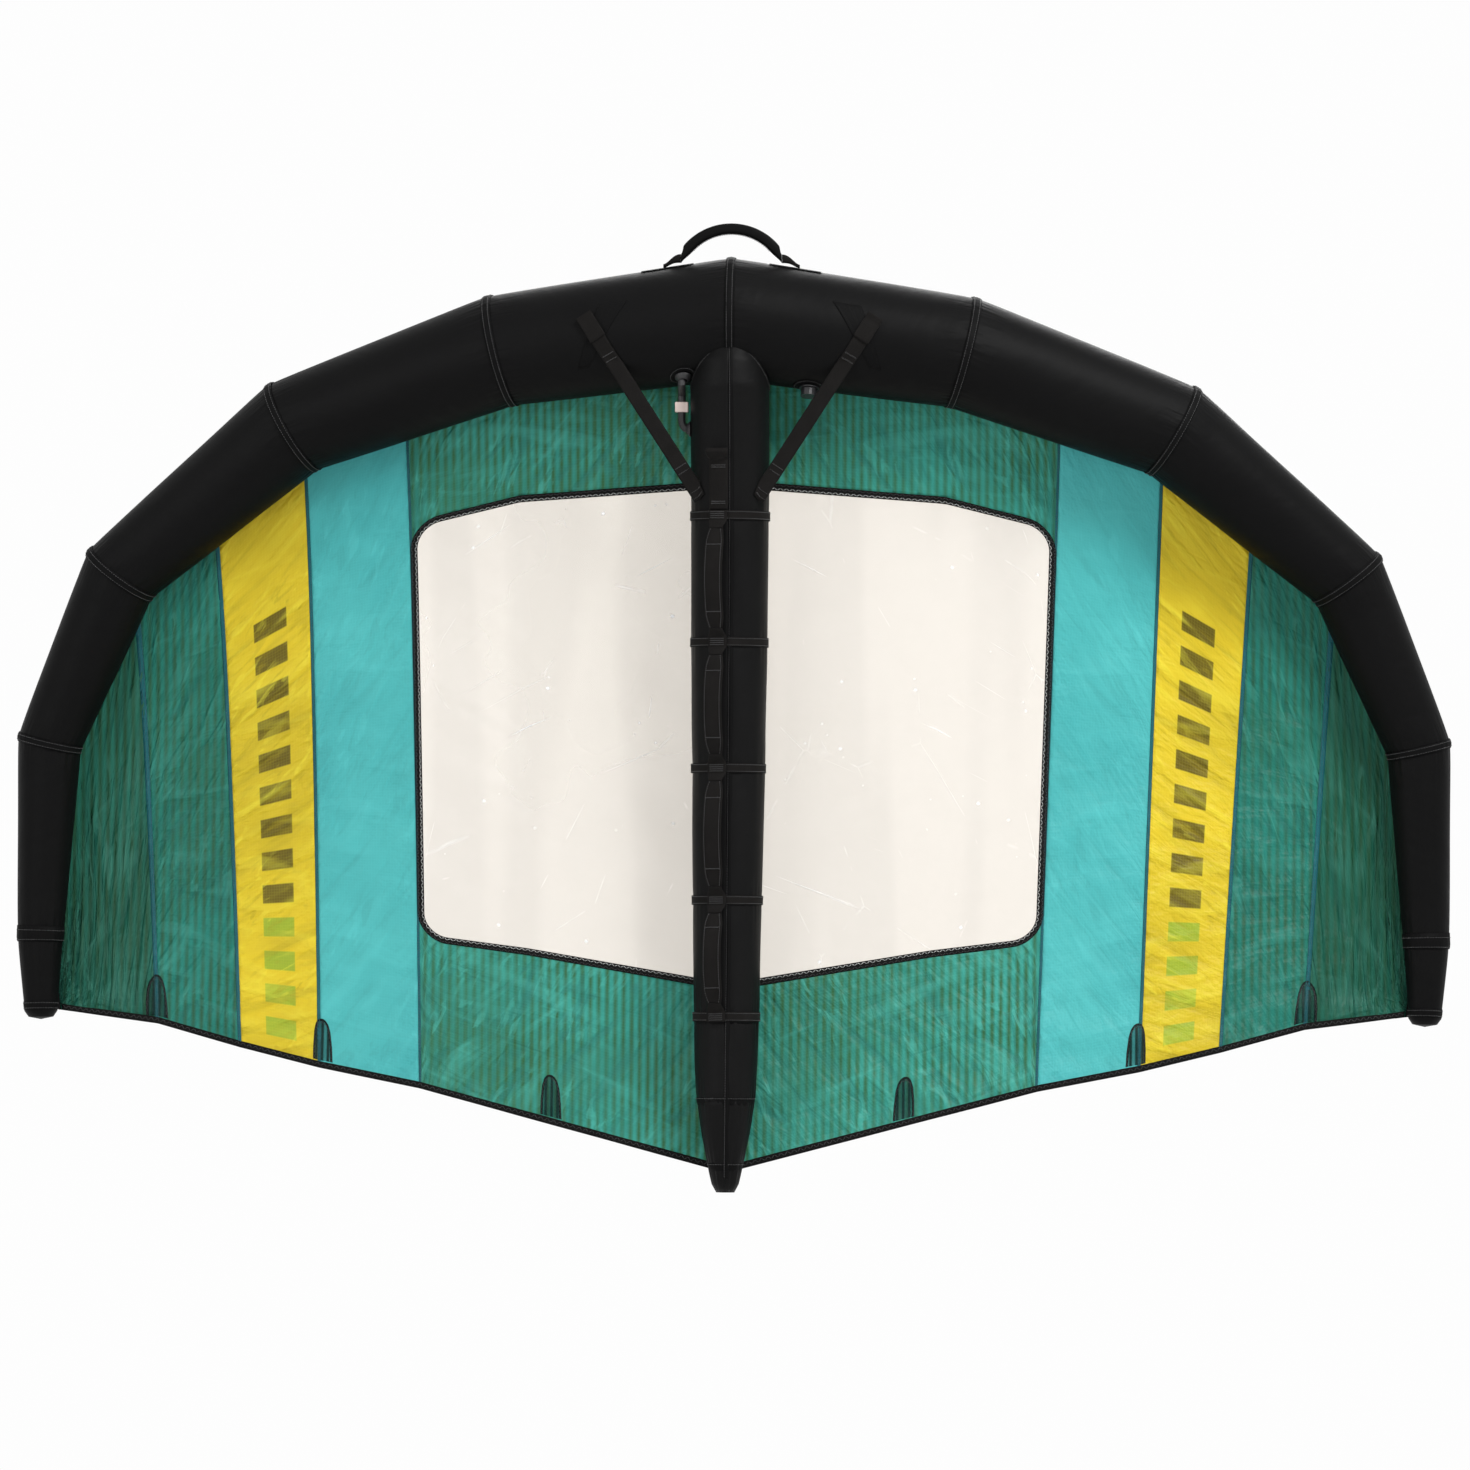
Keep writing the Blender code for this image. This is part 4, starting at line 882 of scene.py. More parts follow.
def cloth_grid(nu: int, nv: int, place: Place, size: Tuple[float, float], wrap: bool = False,
               edge: Optional[Place] = None, turned: bool = False) -> Tuple[bpy.types.Mesh, Cut]:
    """A grid of quads laid on a surface, with its cloth coordinates in metres.

    Args:
        nu, nv: cells along u and v.
        place: gives points for arrays of u and v from 0 to 1.
        size: the cloth's width along u and length along v.
        wrap: u closes on itself, as round a tube.
        edge: distance to the nearest seam for the same arrays, kept for the finish.
        turned: the faces look the other way.
    Returns: the mesh and its flat cut.
    """
    mesh = bpy.data.meshes.new("grid")
    with editing(mesh) as bm:
        bmesh.ops.create_grid(bm, x_segments=nu, y_segments=nv, size=0.5)
    flat = own_points(mesh)[:, :2] + 0.5
    u, v = np.clip(flat[:, 0], 0.0, 1.0), np.clip(flat[:, 1], 0.0, 1.0)
    made = place(u, v)
    mesh.vertices.foreach_set("co", made.astype(np.float32).ravel())
    corners = np.zeros(len(mesh.loops), np.int32)
    mesh.loops.foreach_get("vertex_index", corners)
    cloth = np.stack([u * size[0], v * size[1]], axis=1)[corners]
    mesh.uv_layers.new(name="cloth").data.foreach_set("uv", cloth.astype(np.float32).ravel())
    if edge is not None:
        kept = mesh.attributes.new("edge", "FLOAT", "POINT")
        kept.data.foreach_set("value", np.broadcast_to(edge(u, v), u.shape).astype(np.float32))
    rows = made.reshape(nv + 1, nu + 1, 3)
    broad = float(np.linalg.norm(np.diff(rows, axis=1), axis=2).sum(1).max())
    long = float(np.linalg.norm(np.diff(rows, axis=0), axis=2).sum(0).max())
    faces = made[corners.reshape(-1, 4)]
    area = np.linalg.norm(np.cross(faces[:, 2] - faces[:, 0], faces[:, 3] - faces[:, 1]), axis=1).sum() / 2
    if wrap or turned:
        with editing(mesh) as bm:
            if wrap:
                bmesh.ops.remove_doubles(bm, verts=bm.verts, dist=WELD)
            if turned:
                bmesh.ops.reverse_faces(bm, faces=bm.faces)
    mesh.update()
    return mesh, Cut(broad, long, float(area))


def lay(name: str, grid: Tuple[bpy.types.Mesh, Cut], finish: str, slot: str, cloth: float,
        replaces: Sequence[str] = (), offset: float = 0.0) -> None:
    """Puts a grid in the scene as a sheet of cloth: shown and given its thickness.

    Args:
        name: the piece's name.
        grid: the mesh and its flat cut. A cut that fills too little of its rectangle is declared with a
            smaller one.
        finish: key of FINISHES.
        slot: the material slot's name, handed on to show.
        cloth: the cloth's thickness.
        replaces: frame nodes that the piece stands for.
        offset: the side that the thickness goes to: 0 for both, 1 for the faces' own side, -1 for the other.
    """
    mesh, cut = grid
    obj = show(name, mesh, finish, ROOT, slot, replaces)
    wall = obj.modifiers.new("thickness", "SOLIDIFY")
    wall.thickness = cloth
    wall.offset = offset
    wall.use_even_offset = False
    scale = min(1.0, math.sqrt(cut.area / (LEAST_FILL * cut.width * cut.length)))
    width, length = (round(max(side * scale, LEAST_SIDE), 4) for side in (cut.width, cut.length))
    area = min(cut.area, width * length)


def solid_grid(name: str, rings: Array, finish: str, body: str, slot: Optional[str],
               replaces: Sequence[str] = (), caps: bool = True) -> bpy.types.Object:
    """A closed body lofted through rings of points, from a grid whose sides are welded.

    Args:
        rings: (rings, points, 3) array, each ring running the same way round.
        caps: closes both ends.
    Returns: the object.
    """
    count, sides = rings.shape[:2]
    closed = np.concatenate([rings, rings[:, :1]], axis=1)
    steps = np.linalg.norm(np.diff(closed.mean(1), axis=0), axis=1)
    length = float(steps.sum())
    around = float(np.linalg.norm(np.diff(closed, axis=1), axis=2).sum(1).max())

    def place(u: Array, v: Array) -> Array:
        return closed[np.rint(v * (count - 1)).astype(int), np.rint(u * sides).astype(int)]

    mesh, _ = cloth_grid(sides, count - 1, place, (around, length), wrap=True)
    with editing(mesh) as bm:
        if caps:
            rims = [e for e in bm.edges if e.is_boundary]
            bmesh.ops.holes_fill(bm, edges=rims, sides=0)
        bmesh.ops.recalc_face_normals(bm, faces=bm.faces)
    return show(name, mesh, finish, body, slot, replaces)


def rounded_ring(centre: Array, across: Array, out: Array, half_width: float, half_thick: float,
                 bulge: float = 0.0, sides: int = 28) -> Array:
    """Points round a flat section with rounded edges: a squared-off oval, swollen in its middle.

    Args: centre: its middle. across, out: its axes. half_width, half_thick: half its size. bulge: its
        swelling. sides: its points.
    Returns: the points.
    """
    a = 2 * np.pi * np.arange(sides) / sides
    c, s = np.cos(a), np.sin(a)
    power = 0.45
    w = np.sign(c) * np.abs(c) ** power * half_width
    h = np.sign(s) * np.abs(s) ** 0.8 * (half_thick + bulge * (1 - (w / half_width) ** 2))
    return centre + w[:, None] * across + h[:, None] * out


@dataclass(frozen=True)
class Sewing:
    """How a row of stitches is sewn: its thread's finish and radius, its pitch, and its zigzag's width."""

    pitch: float
    width: float = 0.0
    thread: float = 0.0006
    finish: str = "grey_thread"


PLAIN_ROW = Sewing(0.005)
MITRE_ROW = Sewing(0.0052)
BAND_ROW = Sewing(0.0042)
GRIP_ROW = Sewing(0.0045)
PATCH_ROW = Sewing(0.004)
PANEL_ROW = Sewing(0.0055, 0.0, 0.0004, "blue_thread")
TAPE_ZIGZAG = Sewing(0.0045, 0.005)
FRONT_GRIP_ZIGZAG = Sewing(0.0045, 0.003)
HEM_ZIGZAG = Sewing(0.0065, 0.0065, 0.0005)
POCKET_ZIGZAG = Sewing(0.005, 0.003, 0.0005, "black_thread")
BAR_TACK = Sewing(0.0016, 0.0024, 0.0005)
GRIP_TACK = Sewing(0.0016, 0.0022, 0.0005)
BRACE_TACK = Sewing(0.0018, 0.003, 0.0005)
# The window's two rows, each with its distance from the binding's outer edge
WINDOW_ZIGZAGS = ((0.0035, Sewing(0.006, 0.004, 0.0005)),
                  (0.0105, Sewing(0.006, 0.004, 0.0005, "white_thread")))


def stitches(name: str, path: Array, lift: Array, sewn: Sewing, body: str = ROOT) -> bpy.types.Object:
    """A row of stitches as short threads lying on a surface.

    Args:
        name: the piece's name.
        path: (n, 3) points that the row follows, in order.
        lift: (n, 3) or (3,) outward direction of the surface.
        sewn: how the row is sewn; one with a width makes a zigzag.
        body: the frame's body that it moves with.
    Returns: the object.
    """
    path = np.asarray(path, float)
    lift = np.broadcast_to(np.asarray(lift, float), path.shape)
    along = np.concatenate([[0.0], np.cumsum(np.linalg.norm(np.diff(path, axis=0), axis=1))])
    count = max(2, int(along[-1] / sewn.pitch))
    marks = np.linspace(0.0, along[-1], count + 1)

    def at(rows: Array) -> Array:
        return np.stack([np.interp(marks, along, rows[:, k]) for k in range(3)], axis=1)

    spots, ups = at(path), unit(at(lift))
    run = unit(np.gradient(spots, axis=0))
    across = unit(np.cross(run, ups))
    swing = np.where(np.arange(count + 1) % 2, 0.5, -0.5)[:, None] * sewn.width
    spots = spots + across * swing
    start, end = spots[:-1], spots[1:]
    gap = 0.12 if sewn.width else 0.2
    start, end = lerp(start, end, gap), lerp(end, start, gap)
    ups = ups[:-1]
    shape = bpy.data.meshes.new("stitch")
    with editing(shape) as bm:
        bmesh.ops.create_cone(bm, cap_ends=True, segments=5, radius1=1.0, radius2=1.0, depth=1.0)
        bmesh.ops.recalc_face_normals(bm, faces=bm.faces)
    local = own_points(shape)
    faces = [list(p.vertices) for p in shape.polygons]
    bpy.data.meshes.remove(shape)
    line = end - start
    flat = unit(np.cross(line, ups))
    up = unit(np.cross(flat, line))
    points = (start[:, None] + (local[None, :, 2:3] + 0.5) * line[:, None]
              + local[None, :, 0:1] * sewn.thread * flat[:, None]
              + (local[None, :, 1:2] * 0.6 + 0.35) * sewn.thread * up[:, None])
    every = [[i + k * len(local) for i in f] for k in range(len(start)) for f in faces]
    mesh = bpy.data.meshes.new(name)
    mesh.from_pydata(points.reshape(-1, 3).tolist(), [], every)
    mesh.update()
    with editing(mesh) as bm:
        bmesh.ops.recalc_face_normals(bm, faces=bm.faces)
    return show(name, mesh, sewn.finish, body, None)


# The tube


SLEEVE_RIPPLE = Ripple(3)
STRUT_RIPPLE = Ripple(5)


@dataclass
class LeadingEdge:
    """Sleeve sections, their mitre seams, the closed tips and the bladder in them."""

    tube: LeadingTube = TUBE
    around: int = 120
    cell: float = 0.011
    cloth: float = 0.0008
    seam_width: float = 0.017
    tape: float = 0.0009
    film: float = 0.0036
    tip_tail: float = 0.10

    def swell(self, station: Array, degrees: Array, i: int) -> Array:
        """How far the tight cloth stands in or out: a soft bulge, with puckers by the seams.

        Args: station, degrees: places. i: the section.
        Returns: the lift at each.
        """
        length = self.tube.length(i)
        near = np.minimum(station - i, i + 1 - station) * length
        if i == self.tube.last - 1:
            near = (station - i) * length
        pucker = SLEEVE_RIPPLE(degrees / 4.2 + 13 * i, near * 9.0)
        long_wave = SLEEVE_RIPPLE(degrees / 24.0 + 5 * i, (station - i) * length * 7.0)
        inner = 0.6 + 0.4 * np.cos(np.radians(degrees))
        return (-0.0016 * np.exp(-near / 0.022) + 0.0016 * inner * pucker * np.exp(-near / 0.035)
                + 0.0006 * long_wave - 0.0006)

    def section(self, label: str, side: float, i: int) -> None:
        """One sewn section of the sleeve.

        Args: label, side: its side. i: the section, from the centre line.
        """
        tube, length = self.tube, self.tube.length(i)
        around = 2 * math.pi * float(tube.radii[i])
        tip = i == tube.last - 1
        rows = max(10, int(length / self.cell))
        rises, shares = zip(*TIP_DOME_SHARES)
        tail = self.tip_tail if tip else 0.0

        def place(u: Array, v: Array) -> Array:
            degrees = u * 360.0
            station = i + np.minimum(v / (1.0 - tail), 1.0) * 0.9995 + 0.0002
            made = tube.point(station, degrees, self.swell(station, degrees, i), side)
            if tip:
                past = np.clip((v - (1.0 - tail)) / tail, 0.0, 1.0) * (len(rises) - 1)
                radius = tube.radii[tube.last]
                ring = tube.ring(np.full(len(u), tube.last), degrees, (table(shares, past) - 1.0) * radius)
                rise = (table(rises, past) * radius)[:, None]
                cap = (ring + tube.run[tube.last] * rise) * (side, 1.0, 1.0)
                made = np.where((v > 1.0 - tail)[:, None], cap, made)
            return made

        def edge(u: Array, v: Array) -> Array:
            return (v if tip else np.minimum(v, 1.0 - v)) * length

        grid = cloth_grid(self.around, rows + (8 if tip else 0), place, (around, length * (1 + tail)),
                               wrap=True, edge=edge, turned=side < 0)
        name = f"sleeve_{label}_{i + 1}"
        lay(name, grid, "sleeve", "sleeve_cloth", self.cloth,
            [f"le_sleeve_{label}_{i + 1}"], offset=-1.0)

    def mitre(self, label: str, side: float, station: float) -> None:
        """The felled seam round the tube at a mitre, with two rows of stitches.

        Args: label: for its name. side: -1 for the left. station: its place.
        """
        tube = self.tube
        i = min(int(station), tube.last - 1)
        radius = float(np.interp(station, np.arange(tube.last + 1), tube.radii))
        half = self.seam_width / 2 / tube.length(i)

        def place(u: Array, v: Array) -> Array:
            degrees = u * 360.0
            spot = station + (v - 0.5) * 2 * half
            ripple = 0.0004 * SLEEVE_RIPPLE(degrees / 3.0 + 31 * station, v * 1.5)
            crown = 0.0007 * np.sin(np.pi * v)
            if station == 0.0:
                made = tube.point(np.abs(spot), degrees, crown + ripple)
                made[:, 0] *= np.sign(spot)
                return made
            return tube.point(spot, degrees, crown + ripple - 0.0005, side)

        grid = cloth_grid(180, 4, place, (2 * math.pi * radius, self.seam_width), wrap=True,
                               turned=side < 0)
        name = f"mitre_seam_{label}"
        lay(name, grid, "patch", "sleeve_cloth", self.cloth, offset=1.0)
        degrees = np.linspace(0.0, 360.0, 241)
        for number, shift in enumerate((-0.3, 0.3)):
            spot = station + shift * 2 * half
            path = tube.point(abs(spot) if station == 0.0 else spot, degrees, 0.0010, side)
            if station == 0.0:
                path[:, 0] *= np.sign(spot)
            stitches(f"{name}_stitch_{number + 1}", path, unit(path - path.mean(0)), MITRE_ROW)

    def belly_seam(self, label: str, side: float) -> None:
        """The seam along the tube where the canopy is sewn to it: a tape with a zigzag row.

        Args: label, side: its side.
        """
        tube = self.tube
        last = SEAM_STATION_SHARES[-1]

        def place(u: Array, v: Array) -> Array:
            return tube.point(0.05 + v * (last - 0.05), ATTACH_DEG - 9.0 + 13.0 * u, PATCH_LIFT, side)

        grid = cloth_grid(3, 240, place, (0.024, 2.1), turned=side > 0)
        lay(f"canopy_tape_{label}", grid, "binding", "black_webbing", self.tape)
        spots = np.linspace(0.1, last - 0.05, 700)
        path = tube.point(spots, ATTACH_DEG - 3.0, 0.0012, side)
        up = unit(tube.point(spots, ATTACH_DEG - 3.0, OUTWARD, side) - path)
        stitches(f"canopy_tape_{label}_stitch", path, up, TAPE_ZIGZAG)

    def bladder(self) -> None:
        """The air tube in the sleeve, from tip to tip."""
        tube, last = self.tube, self.tube.last
        radius = tube.radii[last] - self.film

        def place(u: Array, v: Array) -> Array:
            span = (v * 2 - 1) * (last + 0.999)
            past = np.clip(np.abs(span) - last, 0.0, 1.0)
            made = tube.point(np.minimum(np.abs(span), last), u * 360.0, -self.film)
            ring = tube.axis[last] + (made - tube.axis[last]) * np.sqrt(1 - past * past * 0.9996)[:, None]
            dome = ring + tube.run[last] * (0.5 * past * radius)[:, None]
            made = np.where((past > 0)[:, None], dome, made)
            made[:, 0] *= np.where(span < 0, -1.0, 1.0)
            return made

        mesh, _ = cloth_grid(48, 14 * 12, place, (0.72, 4.6), wrap=True)
        obj = show("air_tube", mesh, "bladder", ROOT, "bladder_film", ["le_bladder"])

    def build(self) -> None:
        """Makes every piece of the leading edge."""
        self.bladder()
        for label, side in SIDES.items():
            for i in range(self.tube.last):
                self.section(label, side, i)
            for station in range(1, self.tube.last):
                self.mitre(f"{label}_{station}", side, float(station))
            self.mitre(f"{label}_tip", side, self.tube.last - 0.06)
            self.belly_seam(label, side)
        self.mitre("centre", 1.0, 0.0)


# The canopy


@dataclass(frozen=True)
class PanelKind:
    """A panel of the canopy, counted from the centre line."""

    number: int
    node: str
    finish: str
    slot: str


PANELS = (PanelKind(1, "teal_panel", "teal", "teal_ripstop"),
          PanelKind(2, "yellow_band", "yellow", "yellow_ripstop"),
          PanelKind(3, "green_panel", "side_green", "green_ripstop"),
          PanelKind(4, "tip_panel", "tip", "tip_ripstop"))
# A pocket's breadth as a share of its widest, from the hem to its round end
POCKET_OUTLINE = ((0.0, 1.0), (0.35, 0.96), (0.7, 0.82), (0.88, 0.62), (0.97, 0.36), (1.0, 0.14))


@dataclass
class Canopy:
    """Cloth panels, windows, their bindings, the panel seams, the hem and the batten pockets."""

    form: CanopyForm = CANOPY
    cell: float = 0.009
    seam_width: float = 0.0075
    cloth: float = 0.0006
    film: float = 0.0005
    binding_cloth: float = 0.0020
    seam_cloth: float = 0.0004
    tab_cloth: float = 0.0008
    pocket_cloth: float = 0.0012
    # Thickness of the thin dark sheet that paints a pocket's shade on the rider's side
    shade_sheet_cloth: float = 0.0003
    under_hem: float = 0.004
    pocket_length: float = 0.085
    pocket_width: float = 0.045

    def cells(self, length: float) -> int:
        """Cells along a length."""
        return max(6, int(length / self.cell))

    def panel(self, label: str, side: float, kind: PanelKind) -> None:
        """One side panel, from the tube to the hem.

        Args: label, side: its side. kind: the panel.
        """
        form, i = self.form, kind.number
        width, chord = form.width(i, 0.5), form.chord(i + 0.5)
        start = 0.0006 / width

        def place(u: Array, v: Array) -> Array:
            s = v * form.hem(i + 0.5, self.under_hem)
            return form.point(i + start + u * (1 - 2 * start), s, 0.0, side)

        def edge(u: Array, v: Array) -> Array:
            return np.minimum(np.minimum(u, 1 - u) * width, np.minimum(v, 1 - v) * chord)

        grid = cloth_grid(self.cells(width), self.cells(chord), place, (width, chord), edge=edge,
                               turned=side > 0)
        lay(f"{kind.node}_{label}_cloth", grid, kind.finish, kind.slot, self.cloth,
            [f"{kind.node}_{label}"])

    def outline(self, inset: float) -> Tuple[Array, Array, float, float]:
        """The window's top edge to its outer corner as dense (v, s), and s at its top and bottom.

        Args: inset: how far inside it.
        Returns: v, s, and s at the top and bottom.
        """
        form = self.form
        middle = (WINDOW_TOP_SHARE + WINDOW_BOTTOM_SHARE) / 2
        width, chord = form.width(0, middle), form.chord(0.5)
        corner, outer = WINDOW_CORNER - inset, 1.0 - inset / width
        top = WINDOW_TOP_SHARE + inset / chord
        bottom = WINDOW_BOTTOM_SHARE - inset / chord
        flat = outer - corner / width
        turn = np.radians(np.linspace(0.0, 90.0, 15))
        v = np.concatenate([np.linspace(0.0, flat, 61)[:-1], flat + corner / width * np.sin(turn)])
        s = np.concatenate([np.full(60, top), top + corner / chord * (1 - np.cos(turn))])
        return v, s, top, bottom

    def centre_panel(self, label: str, side: float, front: bool) -> None:
        """The cloth in front of the window, or behind it.

        Args: label, side: its side. front: the one in front.
        """
        form = self.form
        v_edge, s_edge, top, bottom = self.outline(0.003)
        if not front:
            s_edge = bottom - (s_edge - top)
        count = len(v_edge)
        length = form.chord(0.5) * (top if front else 1 - bottom)
        width = form.width(0, top if front else 0.9)

        def place(u: Array, v: Array) -> Array:
            at = np.rint(u * (count - 1)).astype(int)
            hem = form.hem(0.5, self.under_hem)
            s = v * s_edge[at] if front else lerp(s_edge[at], hem, v)
            return form.point(v_edge[at], s, 0.0, side)

        def edge(u: Array, v: Array) -> Array:
            return np.minimum(v, 1 - v) * length

        grid = cloth_grid(count - 1, self.cells(length), place, (width, length), edge=edge, turned=side > 0)
        node = f"{'front' if front else 'rear'}_panel_{label}"
        lay(f"{node}_cloth", grid, "green", "green_ripstop", self.cloth, [node])

    def window(self, label: str, side: float) -> None:
        """The clear film, its edge under the binding. Args: label, side: its side."""
        form = self.form
        v_edge, s_edge, top, bottom = self.outline(0.006)
        count = len(v_edge)
        width, length = form.width(0, 0.45), form.chord(0.5) * (bottom - top)

        def place(u: Array, v: Array) -> Array:
            at = np.rint(u * (count - 1)).astype(int)
            return form.point(v_edge[at], lerp(s_edge[at], bottom - (s_edge[at] - top), v), 0.0, side)

        grid = cloth_grid(count - 1, self.cells(length), place, (width, length), turned=side > 0)
        lay(f"window_film_{label}", grid, "film", "window_film", self.film,
            [f"window_pane_{label}"])

    def round_window(self, inset: float) -> Tuple[Array, Array]:
        """The whole outline from the centre line at the top to the centre line at the bottom.

        Args: inset: how far inside it.
        Returns: v and s.
        """
        v_edge, s_edge, top, bottom = self.outline(inset)
        flank = np.linspace(s_edge[-1], bottom - (s_edge[-1] - top), 60)[1:-1]
        v = np.concatenate([v_edge, np.full(58, v_edge[-1]), v_edge[::-1]])
        s = np.concatenate([s_edge, flank, bottom - (s_edge[::-1] - top)])
        return v, s

    def binding(self, label: str, side: float) -> None:
        """Black tape over both faces round the window, with a zigzag on each edge.

        Args: label, side: its side.
        """
        form = self.form
        rows = [self.round_window(inset) for inset in np.linspace(0.0, BINDING_WIDTH, 5)]
        count = len(rows[0][0])

        def place(u: Array, v: Array) -> Array:
            across, at = np.rint(u * 4).astype(int), np.rint(v * (count - 1)).astype(int)
            v_all, s_all = np.array([r[0] for r in rows]), np.array([r[1] for r in rows])
            return form.point(v_all[across, at], s_all[across, at], 0.0, side)

        grid = cloth_grid(4, count - 1, place, (BINDING_WIDTH, 1.9), turned=side < 0)
        lay(f"window_tape_{label}", grid, "binding", "black_webbing", self.binding_cloth,
            [f"window_binding_{label}"])
        for number, (inset, sewn) in enumerate(WINDOW_ZIGZAGS, 1):
            path = form.point(*self.round_window(inset), -0.0011, side)
            stitches(f"window_stitch_{label}_{number}", path, RIDER, sewn)

    def seam(self, label: str, side: float, number: int) -> None:
        """A felled seam between two panels, with two rows of stitches.

        Args: label, side: its side. number: the seam, from the centre line.
        """
        form = self.form
        chord = form.chord(number)
        half = self.seam_width / 2 / form.width(number - 1, 0.5)

        def place(u: Array, v: Array) -> Array:
            return form.point(number + (u - 0.5) * 2 * half, 0.002 + v * 0.990, -0.0005, side)

        grid = cloth_grid(3, self.cells(chord), place, (self.seam_width, chord), turned=side > 0)
        nodes = [kind.node for kind in PANELS[:number][-2:]]
        if number == 1:
            nodes += ["front_panel", "rear_panel"]
        lay(f"panel_seam_{label}_{number}", grid, "seam", "teal_ripstop", self.seam_cloth)
        s = np.linspace(0.01, 0.99, 400)
        for row, shift in enumerate((-0.55, 0.55)):
            path = form.point(number + shift * half, s, -0.0009, side)
            stitches(f"panel_stitch_{label}_{number}_{row + 1}", path, RIDER, PANEL_ROW)

    def hem(self) -> None:
        """The hem tape along the whole trailing edge, with its zigzag."""
        form = self.form
        span = np.concatenate([np.linspace(-4.985, 0.0, 420), np.linspace(0.0, 4.985, 420)[1:]])
        sides = np.where(span < 0, -1.0, 1.0)
        rings, middle = [], []
        for v, side in zip(span, sides):
            far = form.point(abs(v), 1.0, 0.0, side)[0]
            near = form.point(abs(v), form.hem(abs(v), HEM_WIDTH), 0.0, side)[0]
            middle.append((far + near) / 2)
            rings.append(rounded_ring(middle[-1], unit(far - near), RIDER, HEM_WIDTH / 2, 0.0012, sides=14))
        tape = solid_grid("hem_tape", np.array(rings), "binding", ROOT, "black_webbing", ["trailing_hem"])
        for label, side in SIDES.items():
            v = np.linspace(0.01, 4.97, 900)
            s = np.array([form.hem(x, HEM_WIDTH * 0.55) for x in v])
            path = form.point(v, s, -0.0013, side)
            stitches(f"hem_stitch_{label}", path, RIDER, HEM_ZIGZAG)

    def pocket(self, label: str, side: float, number: int, v_at: float) -> None:
        """A finger-shaped batten pocket on the back, and a thin dark sheet on the rider's side that paints
        the pocket's shade seen through the canopy.

        Args: label, side: its side. number: the pocket. v_at: its place.
        """
        form = self.form
        near = form.hem(v_at, HEM_WIDTH + 0.0015)
        width, length = self.pocket_width, self.pocket_length
        reach, half = length / form.chord(v_at), width / 2 / form.width(min(int(v_at), 4), near)

        def broad(v: Array) -> Array:
            return np.interp(v, *zip(*POCKET_OUTLINE))

        def rim(u: Array, v: Array) -> Array:
            return np.minimum((0.5 - np.abs(u - 0.5)) * width * broad(v), (1.0 - v) * length)

        def place_at(lift: float, shrink: float) -> Place:
            def place(u: Array, v: Array) -> Array:
                across = half * broad(v) * shrink * (u * 2 - 1)
                return form.point(v_at + across, near - reach * v * shrink, lift, side)
            return place

        # The second sheet is painted shade: a thin dark copy of the pocket on the rider's side, where the
        # pocket's shade shows through the canopy
        for name, lift, shrink, cloth, taken in (
                ("batten_sleeve", 0.0017, 1.0, self.pocket_cloth, [f"batten_pocket_{label}_{number}"]),
                ("painted_pocket_shade", -0.0006, 0.96, self.shade_sheet_cloth, [])):
            grid = cloth_grid(16, 28, place_at(lift, shrink), (width, length), edge=rim, turned=side > 0)
            lay(f"{name}_{label}_{number}", grid, "pocket", "pocket_cloth", cloth, taken)
        turn = np.concatenate([np.linspace(0, 1, 30), np.full(9, 1.0), np.linspace(1, 0, 30)])
        swing = np.concatenate([np.full(30, 0.0), np.linspace(0, 1, 11)[1:-1], np.full(30, 1.0)])
        path = place_at(-0.0009, 0.88)(swing, turn)
        stitches(f"pocket_stitch_{label}_{number}", path, RIDER, POCKET_ZIGZAG)

    def tip_tab(self, label: str, side: float) -> None:
        """The doubled cloth that ties the trailing edge's corner to the tube's end.

        Args: label, side: its side.
        """
        form, kept = self.form, (4.90, 5.0)

        def place(u: Array, v: Array) -> Array:
            s = 0.10 + 0.898 * v
            inner = form.point(np.full_like(u, kept[0]), s, 0.0010, side)
            outer = form.point(np.full_like(u, kept[1]), s, 0.0010, side)
            tube = TUBE.point(5.73 + 0.26 * v, lerp(30.0, 12.0, v), 0.0006, side)
            share = (u / 0.6)[:, None]
            return np.where(share < 1.0, lerp(inner, outer, share), lerp(outer, tube, (share - 1.0) * 1.5))

        grid = cloth_grid(10, 24, place, (0.030, 0.045), turned=side > 0)
        lay(f"tip_tab_{label}", grid, "binding", "black_webbing", self.tab_cloth)

    def build(self) -> None:
        """Makes every piece of the canopy."""
        for label, side in SIDES.items():
            self.tip_tab(label, side)
            for kind in PANELS:
                self.panel(label, side, kind)
            self.centre_panel(label, side, True)
            self.centre_panel(label, side, False)
            self.window(label, side)
            self.binding(label, side)
            for number in range(1, 5):
                self.seam(label, side, number)
            for number, v_at in enumerate(POCKET_SEAM_SHARES, 1):
                self.pocket(label, side, number, v_at)
        self.hem()


# The strut


# Its sleeve's sections, each with the frame node that it stands for
STRUT_SECTIONS = (("strut_sleeve", "strut_sleeve_main"), ("strut_rear_sleeve", "strut_sleeve_rear"),
                  ("tail_cone", "strut_tail_cone"), ("tail_cap", "strut_tail_cap"))


